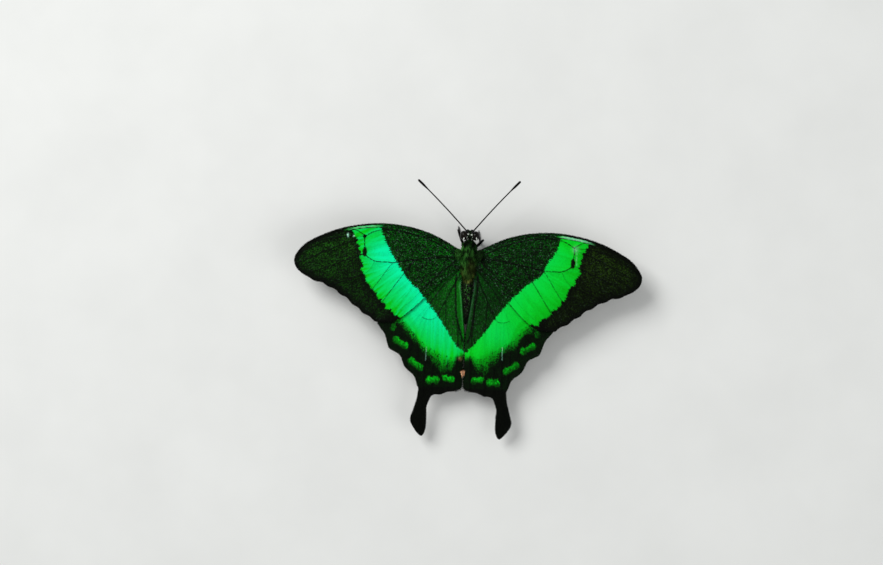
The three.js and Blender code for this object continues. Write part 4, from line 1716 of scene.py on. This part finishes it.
    def roots(self, start: float, end: float, count: int) -> Roots:
        """Hair roots scattered over a stretch of the skin, fewer where it is narrow.

        Args:
            start: Where the stretch starts, as y.
            end: Where it ends.
            count: How many roots are tried.

        Returns:
            Roots that lie backwards.
        """
        rng = self.rng
        share = rng.uniform(self.share_at(start), self.share_at(end), count)
        angle = rng.uniform(0, 2 * np.pi, count)
        kept = rng.random(count) < self.profile(share)[:, 1] / 2.6
        share, angle = share[kept], angle[kept]
        at = self.surface(share, angle)
        along, aside = 1e-4, 1e-3  # small steps of share and angle
        lie = unit(self.surface(share + along, angle) - at)
        around = unit(self.surface(share, angle + aside) - at)
        normal = unit(np.cross(lie, around))
        middle = np.column_stack([0 * share, at[:, 1], self.profile(share)[:, 4]])
        normal *= np.where((normal * (at - middle)).sum(1) < 0, -1, 1)[:, None]
        return Roots(at, normal, lie, unrolled(angle, share), self.paint(at, rng))

    def head_hair(self) -> Shape:
        """Short hair clear of the eyes, brushed up and forward over the face.

        Returns:
            The hair.
        """
        roots, rng = self.roots(-6.95, -4.5, 5200), self.rng
        clear = np.ones(len(roots.at), bool)
        for side in Side:
            from_eye = (roots.at - on_side(EYE_CENTRE, side)) / EYE_RADII
            clear &= (from_eye**2).sum(1) > 1.02
        roots = roots.pick(clear)
        forward = smooth_step(-roots.at[:, 1], 5.4, 6.6)[:, None]
        roots.lie = unit(roots.lie * (1 - 1.6 * forward) + roots.normal * 0.5)
        count, pale = len(roots.at), roots.values["pale"]
        length = rng.uniform(0.24, 0.44, count) * (1 - 0.25 * pale)
        radius = rng.uniform(0.018, 0.03, count) * (1 + 1.3 * pale)
        lift = rng.uniform(0.3, 0.75, count) * (1 - 0.5 * pale)
        return strands(roots, length, radius, lift, rng.uniform(0, 0.3, count))

    def thorax_hair(self) -> Shape:
        """Long soft hair of collar and thorax, longer towards the rear.

        Returns:
            The hair.
        """
        roots, rng = self.roots(-4.4, 5.9, 15000), self.rng
        count = len(roots.at)
        roots.lie = unit(roots.lie + rng.normal(0, 0.24, (count, 3)))
        long = smooth_step(roots.at[:, 1], -4.4, -1.0)
        length = rng.uniform(0.55, 0.95, count) * (0.7 + 0.6 * long)
        radius = rng.uniform(0.018, 0.034, count)
        lift = rng.uniform(0.12, 0.42, count)
        return strands(roots, length, radius, lift, rng.uniform(0.1, 0.35, count))

    def abdomen_scales(self) -> Shape:
        """Flat scales round the abdomen.

        Returns:
            The scales.
        """
        roots, rng = self.roots(5.5, 17.15, 17000), self.rng
        count = len(roots.at)
        roots.lie = unit(roots.lie + rng.normal(0, 0.08, (count, 3)))
        length, width = rng.uniform(0.3, 0.42, count), rng.uniform(0.14, 0.2, count)
        return scales(roots, length, width, rng.normal(0.14, 0.04, count))

    def build(self, shop: Workshop) -> None:
        """Makes the skin, the hair of head, collar and thorax, and the abdomen's scales.

        Args:
            shop: The workshop.
        """
        nodes = ("head", "collar", "thorax", "abdomen")
        shop.piece("trunk_skin", self.skin(), Dress.FLESH, *nodes)
        shop.piece("head_hair", self.head_hair(), Dress.HAIR)
        shop.piece("thorax_hair", self.thorax_hair(), Dress.HAIR)
        shop.piece("abdomen_scales", self.abdomen_scales(), Dress.BELLY)


@dataclass
class Feeler:
    """A feeler: a thin shaft of some forty joints, each a little swollen, and a long club."""

    side: Side
    tip: Triple
    root: Triple = (0.45, -6.5, 7.6)
    bow: float = 0.3  # how far its middle moves in, forward and up
    rows: int = 420
    joint: float = 0.42
    shaft_radius: float = 0.17
    club_radius: float = 0.155  # more than the shaft's
    club_length: float = 3.6
    club_end: float = 0.5  # length over which the club's end closes

    def radii(self, run: Array, from_club: Array) -> Array:
        """Radius along the feeler: a root and a club that swell, waists, and a round end.

        Args:
            run: Lengths run from the root.
            from_club: The same from where the club starts.

        Returns:
            The radius at each.
        """
        waisted = 0.82 + 0.18 * np.abs(np.sin(np.pi * run / self.joint)) ** 0.6
        shaft = self.shaft_radius + 0.07 * glimmer(run, 0.35) + 0.03 * np.exp(-run / 4)
        club = self.club_radius * smooth_step(from_club, -0.4, 1.9)
        past = np.clip(from_club - (self.club_length - self.club_end), 0, self.club_end)
        close = np.sqrt(1 - (past / self.club_end) ** 2)
        return (shaft + club) * waisted * close

    def build(self, shop: Workshop) -> None:
        """Makes the shaft and the club along a quadratic curve, parted where the club starts.

        Args:
            shop: The workshop.
        """
        root, tip = on_side(self.root, self.side), on_side(self.tip, self.side)
        middle = (root + tip) / 2 + self.bow * on_side((-1, -1, 1), self.side)
        t = np.linspace(0, 1, self.rows)[:, None]
        path = evenly((1 - t) ** 2 * root + 2 * t * (1 - t) * middle + t**2 * tip, self.rows)
        run = np.linspace(0, run_of(path), self.rows)
        from_club = run - (run[-1] - self.club_length)
        radii = self.radii(run, from_club)
        start = int(np.argmin(np.abs(from_club)))
        label = self.side.label
        shaft = tube(path[: start + 1], radii[: start + 1], 14, UPRIGHT)
        shop.piece(f"feeler_{label}", shaft, Dress.CHITIN, f"antenna_{label}")
        club = tube(path[start:], radii[start:], 18, UPRIGHT)
        shop.piece(f"feeler_club_{label}", club, Dress.CHITIN, f"antenna_club_{label}")


@dataclass
class Eye:
    """The compound eye of one side and the short white bar over its rear inner edge."""

    side: Side
    bar_start: Pair  # x and y at the bar's front
    bar_width: float = 0.15
    bar_length: float = 0.62
    bar_scales: int = 170

    def bar(self) -> Shape:
        """The white bar: scales that lie backwards on the eye's surface.

        Returns:
            The scales.
        """
        rng = np.random.default_rng(SEED + 5)
        count = self.bar_scales
        share = rng.random(count)
        x = self.bar_start[0] + self.bar_width * share + rng.normal(0, 0.045, count)
        y = self.bar_start[1] + self.bar_length * share
        level = [(p - EYE_CENTRE[k]) / EYE_RADII[k] for k, p in enumerate((x, y))]
        gap = 1 - level[0] ** 2 - level[1] ** 2
        z = EYE_CENTRE[2] + EYE_RADII[2] * np.sqrt(np.clip(gap, 0.02, 1))
        at = np.column_stack([x * self.side.value, y, z])
        normal = unit((at - on_side(EYE_CENTRE, self.side)) / EYE_RADII**2)
        lie = along_skin(on_side((0.25, 0.95, -0.1), self.side), normal)
        values = coat_values(0 * share, rng.random(count), pale=1.0)
        roots = Roots(at, normal, lie, np.column_stack([x, -y]) / 10, values)
        length = rng.uniform(0.28, 0.42, count)
        return scales(roots, length, 0.3 * length, rng.uniform(0.08, 0.3, count))

    def build(self, shop: Workshop) -> None:
        """Makes the eye and its bar.

        Args:
            shop: The workshop.
        """
        label = self.side.label
        ball = egg(on_side(EYE_CENTRE, self.side), EYE_RADII, 48, 72)
        shop.piece(f"cornea_{label}", ball, Dress.CORNEA, f"eye_{label}")
        shop.piece(f"eye_rim_{label}", self.bar(), Dress.EYE_RIM)


@dataclass
class Palp:
    """A palp: a blunt curved finger, thickly haired."""

    side: Side
    knots: tuple[tuple[float, ...], ...] = ((0.6, -5.9, 4.9), (0.6, -6.9, 5.1), (0.55, -7.2, 6.1))
    rows: int = 30
    hairs: int = 700

    def build(self, shop: Workshop) -> None:
        """Makes the finger and its hair.

        Args:
            shop: The workshop.
        """
        path = curve(on_side(self.knots, self.side), self.rows)
        t = np.linspace(0, 1, self.rows)
        radii = np.interp(t, [0, 0.35, 0.7, 1], [0.2, 0.26, 0.24, 0.12])
        radii *= np.sqrt(1 - (2 * t - 1) ** 8)
        label = self.side.label
        finger = tube(path, radii, 16, SIDEWAYS)
        finger.values = plain_hair(len(finger.points), np.random.default_rng(SEED))
        shop.piece(f"palp_skin_{label}", finger, Dress.FLESH, f"palp_{label}")
        rng = np.random.default_rng(SEED + 6)
        coat = tube_hair(path, radii, SIDEWAYS, self.hairs, (0.2, 0.36), (0.4, 0.9), rng)
        shop.piece(f"palp_hair_{label}", coat, Dress.HAIR)


def coat_values(green: Array, tone: Array, pale: float = 0.0) -> Values:
    """The values of hair or scales of the body that are black, green or pale, without gold."""
    return {"green": green, "gold": 0 * tone, "pale": pale + 0 * tone, "tone": tone}


def plain_hair(count: int, rng: Chance) -> Values:
    """Values of black hair with a rare green one."""
    green = np.where(rng.random(count) < 0.06, 0.6, 0.0)
    return coat_values(green, rng.random(count))


def tube_hair(
    path: Array, radii: Array, reference: Array, count: int, length: Pair, lift: Pair, rng: Chance
) -> Shape:
    """Hair on a tube, lying towards its tip.

    Args:
        path: Centres of the tube's rings.
        radii: Their radii.
        reference: A direction that the path never takes.
        count: Number of hairs.
        length: Shortest and longest hair.
        lift: Least and greatest angle off the skin.
        rng: Source of the scatter.

    Returns:
        The hairs.
    """
    share = rng.uniform(0.02, 0.97, count)
    turn = rng.uniform(0, 2 * np.pi, count)
    steps = np.linspace(0, 1, len(path))
    at = np.stack([np.interp(share, steps, path[:, k]) for k in range(3)], axis=1)
    tangent = np.gradient(path, axis=0)
    along = unit(np.stack([np.interp(share, steps, tangent[:, k]) for k in range(3)], axis=1))
    across = unit(np.cross(along, reference))
    up = np.cross(across, along)
    normal = np.cos(turn)[:, None] * across + np.sin(turn)[:, None] * up
    at += normal * np.interp(share, steps, radii)[:, None]
    roots = Roots(at, normal, along, unrolled(turn, share), plain_hair(count, rng))
    sizes = rng.uniform(*length, count)
    lifts = rng.uniform(*lift, count)
    return strands(roots, sizes, 0.075 * sizes, lifts, rng.uniform(0, 0.3, count))


@dataclass
class Tongue:
    """The tongue, coiled under the face like a watch spring."""

    centre: Pair = (-6.0, 4.2)  # y and z
    turns: float = 1.55
    inner: float = 0.32
    outer: float = 1.22
    rings: int = 55

    def build(self, shop: Workshop) -> None:
        """Makes the coil: a ringed tube along a spiral whose radius grows evenly with its turn.

        Args:
            shop: The workshop.
        """
        t = np.linspace(0, 1, 220)
        angle = 0.4 * np.pi - 2 * np.pi * self.turns * (1 - t)
        radius = self.inner + (self.outer - self.inner) * t
        y, z = self.centre
        path = np.stack([0 * t, y + radius * np.cos(angle), z + radius * np.sin(angle)], axis=1)
        ringed = 1 - 0.06 * np.cos(2 * np.pi * t * self.rings)
        radii = np.interp(t, [0, 0.3, 1], [0.12, 0.19, 0.2]) * ringed
        shop.piece("tongue", tube(path, radii, 16, SIDEWAYS), Dress.CHITIN, "proboscis")


@dataclass
class ShoulderScale:
    """The tegula of one side: a small shield over the wing's root, thick with hair."""

    side: Side
    centre: Triple = (2.8, -0.9, 8.31)
    radii: Triple = (0.8, 1.38, 0.4)
    hairs: int = 900

    def build(self, shop: Workshop) -> None:
        """Makes the shield and its hair.

        Args:
            shop: The workshop.
        """
        rng = np.random.default_rng(SEED + 7)
        centre = on_side(self.centre, self.side)
        shield = egg(centre, self.radii, 28, 40)
        shield.values = self.values(len(shield.points), rng)
        label = self.side.label
        shop.piece(f"tegula_skin_{label}", shield, Dress.FLESH, f"tegula_{label}")
        shop.piece(f"tegula_hair_{label}", self.hair(centre, rng), Dress.HAIR)

    def hair(self, centre: Array, rng: Chance) -> Shape:
        """Hair that lies backwards over the shield's top and sides.

        Args:
            centre: The shield's middle.
            rng: Source of the scatter.

        Returns:
            The hair.
        """
        count = self.hairs
        direction = unit(rng.normal(0, 1, (count, 3)))
        direction[:, 2] = np.abs(direction[:, 2]) - 0.25
        direction = unit(direction)
        at = centre + direction * self.radii
        normal = unit(direction / self.radii)
        lie = along_skin(on_side((0.1, 1.0, 0.0), self.side), normal)
        spot = 0.5 + 0.48 * direction[:, :2]
        roots = Roots(at, normal, lie, spot, self.values(count, rng))
        sizes, lift = rng.uniform(0.4, 0.75, count), rng.uniform(0.05, 0.3, count)
        return strands(roots, sizes, 0.04 * sizes, lift, rng.uniform(0.1, 0.5, count))

    def values(self, count: int, rng: Chance) -> Values:
        """Green hair with dark among it, painted brighter on the left as painted light."""
        # Painted light: the left shield's hair is painted greener than the right's.
        green = (0.5 + 0.3 * self.side.value) * np.where(rng.random(count) < 0.5, 0.1, 1.0)
        return coat_values(green, rng.random(count) ** 3)


class LegPair(Labelled):
    """The three pairs of legs."""

    FORE = 1
    MIDDLE = 2
    HIND = 3


# Ends of a leg's four pieces, from the thorax to the claws, as points of the left side.
LEG_POINTS = {
    (LegPair.FORE, Side.LEFT): (
        (0.9, -2, 4.8), (1.6, -3.5, 3.4), (3.1, -7.3, 4.5), (2.4, -5.5, 0.62), (2.95, -8, 0.2),
    ),
    (LegPair.FORE, Side.RIGHT): (
        (0.9, -2, 4.8), (1.7, -2.9, 3.4), (3.6, -4.9, 4.7), (2.8, -4.3, 0.62), (2.4, -7.1, 0.2),
    ),
    (LegPair.MIDDLE, Side.LEFT): (
        (1, 0.9, 4.6), (2, 1.1, 3), (5.3, 1.4, 4.9), (7.6, 2.2, 0.62), (10.9, 3.2, 0.2),
    ),
    (LegPair.MIDDLE, Side.RIGHT): (
        (1, 0.9, 4.6), (2, 1.2, 3), (5.2, 2, 4.9), (7.4, 3.2, 0.62), (10.5, 4.8, 0.2),
    ),
    (LegPair.HIND, Side.LEFT): (
        (0.9, 3.4, 4.7), (1.7, 4.5, 3.2), (4.1, 8.9, 4.4), (6, 14, 0.62), (7.3, 18.4, 0.2),
    ),
    (LegPair.HIND, Side.RIGHT): (
        (0.9, 3.4, 4.7), (1.7, 4.6, 3.2), (3.9, 9.2, 4.4), (5.5, 14.6, 0.62), (6.6, 19, 0.2),
    ),
}


@dataclass(frozen=True)
class LegPart:
    """One piece of a leg: its radii along its length, its bristles, joints, spurs or claws."""

    name: str
    radii: tuple[float, ...]
    bristles: int
    bristle_length: Pair
    joints: int = 1
    thorn: Pair | None = None  # length and radius of its two spurs or claws
    on_floor: bool = False


LEG_PARTS = (
    LegPart("coxa", (0.52, 0.5, 0.42), 260, (0.25, 0.5)),
    LegPart("femur", (0.26, 0.36, 0.33, 0.24), 260, (0.12, 0.26)),
    LegPart("tibia", (0.2, 0.23, 0.22, 0.26), 200, (0.1, 0.19), thorn=(0.6, 0.07)),
    LegPart("tarsus", (0.22, 0.2, 0.19, 0.16), 160, (0.1, 0.18), 5, (0.42, 0.055), True),
)


@dataclass
class Leg:
    """A leg: coxa, femur, tibia with its spurs, and a tarsus of five joints with two claws."""

    pair: LegPair
    side: Side
    rows: int = 24  # rings for each joint and one more
    waist: float = 0.3  # how much thinner the tarsus is between its joints
    foot_gap: float = 0.02  # least height of the tarsus above the floor
    bristle_gap: float = 0.01  # least height of bristles
    claw_gap: float = 0.03  # least height of the claws' middle line

    def build(self, shop: Workshop) -> None:
        """Makes the leg's four pieces.

        Args:
            shop: The workshop.
        """
        knees = on_side(LEG_POINTS[self.pair, self.side], self.side)
        rng = np.random.default_rng(SEED + 8)
        for i, part in enumerate(LEG_PARTS):
            node = f"{self.pair.label}_{part.name}_{self.side.label}"
            shape = self.piece(part, knees[i], knees[i + 1], rng)
            shop.piece(f"leg_{node}", shape, Dress.CHITIN, node)

    def piece(self, part: LegPart, start: Array, end: Array, rng: Chance) -> Shape:
        """A leg piece: a spindle with round ends, waisted at its joints, with its bristles.

        Args:
            part: Which piece.
            start: Its end nearer to the body.
            end: Its other end.
            rng: Source of the bristles' scatter.

        Returns:
            The piece as one shape, with its spurs or claws.
        """
        t = np.linspace(0, 1, self.rows * (part.joints + 1))
        radii = smooth_path(np.array(part.radii)[:, None], t)[:, 0]
        axis = unit(end - start)
        first, last = start - axis * radii[0] / 2, end + axis * radii[-1] / 2
        path = first + t[:, None] * (last - first)
        if part.on_floor:
            low = path[:, 2] - 0.35 * np.sin(np.pi * np.minimum(t * 1.5, 1))
            path[:, 2] = np.maximum(low, radii + self.foot_gap)
        radii *= (1 - np.abs(2 * t - 1) ** 10) ** 0.1
        if part.joints > 1:
            radii *= 1 - self.waist * np.cos(np.pi * part.joints * t) ** 12
        size, lift = part.bristle_length, (0.35, 0.8)
        bristles = tube_hair(path, radii, UPRIGHT, part.bristles, size, lift, rng)
        bristles.points[:, 2] = np.maximum(bristles.points[:, 2], self.bristle_gap)
        shapes = [tube(path, radii, 16, UPRIGHT), bristles]
        if part.thorn:
            root = path[-1] if part.on_floor else end
            shapes += [self.thorn(root, axis, sign, part.thorn) for sign in (-1, 1)]
        return join(shapes)

    def thorn(self, root: Array, axis: Array, sign: int, size: Pair) -> Shape:
        """A spur or claw: a tapering hook that leaves to one side and bends down.

        Args:
            root: Where it grows.
            axis: Direction of the leg piece.
            sign: To which side it leaves.
            size: Its length, and its radius at the root.

        Returns:
            The closed hook.
        """
        length, radius = size
        aside = unit(np.cross(axis, UPRIGHT)) * sign
        t = np.linspace(0, 1, 12)[:, None]
        path = root + length * (t * axis + 0.45 * t * aside) - 0.25 * length * t**2 * UPRIGHT
        path[:, 2] = np.maximum(path[:, 2], self.claw_gap)
        radii = radius * (1 - t[:, 0]) ** 0.7
        return tube(path, np.maximum(radii, 0.002), 8, UPRIGHT)


# ---- studio ----


@dataclass
class Studio:
    """Pale floor, soft light and the camera straight above."""

    lens: float = 100.0
    sensor: float = 36.0
    turn: float = 2.8  # degrees by which the head points right of the picture's top
    view_width_mm: float = 229.9  # what the picture's width takes in at the wings' level
    wing_level_mm: float = 7.5
    aim_mm: Pair = (6.79, -6.58)  # point of the floor under the picture's middle
    floor_size: float = 3.0

    def floor(self) -> None:
        """A sheet of pale paper, gently uneven: a grid with a swell of a tenth of a millimetre."""
        count = 60
        line = np.linspace(-1, 1, count)
        line = np.sign(line) * np.abs(line) ** 2 * self.floor_size / 2 / MM
        x, y = np.meshgrid(line, line)
        z = -0.02 - 0.1 * (1 + np.sin(x / 90) * np.sin(y / 70)) / 2
        points = np.stack([x.ravel(), y.ravel(), z.ravel()], axis=1) * MM
        faces = grid_faces(count, count, False)
        mesh = bpy.data.meshes.new("floor")
        mesh.from_pydata(points.tolist(), [], faces.tolist())
        floor = bpy.data.objects.new("floor", mesh)
        bpy.context.scene.collection.objects.link(floor)
        # Matt paper, even and soft: its fibre is too fine to see.
        grey = ("#dfe0dd", "#e3e4e1")
        paper = Finish("floor_paper", grey, (), 0.9, 0.1, mottle_mm=30.0, relief_mm=0.5)
        mesh.materials.append(paper.make())

    @staticmethod
    def lamp(name: str, place_mm: Triple, size_mm: float, watts: float) -> None:
        """A square soft light that faces the butterfly.

        Args:
            name: The lamp's name.
            place_mm: Where it stands.
            size_mm: Length of its side.
            watts: Its power.
        """
        data = bpy.data.lights.new(name, "AREA")
        data.energy = watts
        data.size = size_mm * MM
        lamp = bpy.data.objects.new(name, data)
        back = unit(np.array(place_mm))
        right = unit(np.cross(UPRIGHT, back))
        matrix = np.eye(4)
        matrix[:3] = np.column_stack([right, np.cross(back, right), back, np.array(place_mm) * MM])
        lamp.matrix_world = Matrix(matrix)
        bpy.context.scene.collection.objects.link(lamp)

    def camera(self) -> None:
        """The camera: it looks straight down, and its right and up lie in the floor's plane."""
        data = bpy.data.cameras.new("camera")
        data.lens = self.lens
        data.sensor_width = self.sensor
        camera = bpy.data.objects.new("camera", data)
        a = math.radians(self.turn)
        away = self.view_width_mm * self.lens / self.sensor + self.wing_level_mm
        x, y = self.aim_mm
        matrix = [
            [-math.cos(a), math.sin(a), 0.0, x * MM],
            [-math.sin(a), -math.cos(a), 0.0, y * MM],
            [0.0, 0.0, 1.0, away * MM],
            [0.0, 0.0, 0.0, 1.0],
        ]
        camera.matrix_world = Matrix(matrix)
        bpy.context.scene.collection.objects.link(camera)
        bpy.context.scene.camera = camera

    def world(self) -> None:
        """An even pale surround."""
        world = bpy.data.worlds.new("studio")
        world.use_nodes = True
        inputs = world.node_tree.nodes["Background"].inputs
        inputs["Color"].default_value = linear("#f4f6f8")
        inputs["Strength"].default_value = 0.42
        bpy.context.scene.world = world

    def build(self) -> None:
        """Sets up floor, lights, surround and camera."""
        self.floor()
        self.world()
        self.lamp("key", (420.0, -380.0, 560.0), size_mm=420.0, watts=5.0)
        self.lamp("fill", (-520.0, 260.0, 480.0), size_mm=500.0, watts=1.4)
        self.camera()
        bpy.context.scene.view_settings.view_transform = "Standard"


def main() -> None:
    """Builds the studio and the butterfly, part by part."""
    logging.basicConfig(level=logging.INFO, format="%(message)s")
    Studio().build()
    shop = Workshop()
    Trunk().build(shop)
    Tongue().build(shop)
    feeler_tips = {Side.LEFT: (14.1, -19.6, 12.3), Side.RIGHT: (12.4, -20.4, 12.4)}
    eye_bars = {Side.LEFT: (1.48, -5.3), Side.RIGHT: (1.72, -5.45)}
    for side in Side:
        Eye(side, eye_bars[side]).build(shop)
        Palp(side).build(shop)
        Feeler(side, feeler_tips[side]).build(shop)
    # The left side is painted lighter than the right: its band more turquoise by painted
    # iridescence and less darkened by painted shade, its green dust and strip brighter by painted
    # light.
    marks = {
        Side.LEFT: Markings(
            Side.LEFT, tint=(0.0, 1.2), painted_shade=0.08, dust=(0.13, 0.26), moss=0.35, strip=0.5,
            streak=(0.42, 0.8, 0.2), cool=((23.2, 0.2, 3.6, 0.35), (12.8, 15.2, 3.0, 0.35)),
        ),
        Side.RIGHT: Markings(
            Side.RIGHT, tint=(0.0, 0.14), painted_shade=0.3, dust=(0.085, 0.1), moss=0.85, strip=0.11,
            streak=(0.55, 0.95, 0.5), cool=((8.5, 19.5, 4.0, 0.1),),
        ),
    }
    sweeps = {Side.LEFT: 0.6, Side.RIGHT: -0.6}
    forewing, hindwing = forewing_plan(), hindwing_plan()
    for side in Side:
        ShoulderScale(side).build(shop)
        Wing(forewing, side, sweeps[side], marks[side]).build(shop)
        Wing(hindwing, side, 0.0, marks[side]).build(shop)
        for pair in LegPair:
            Leg(pair, side).build(shop)


if __name__ == "__main__":
    main()
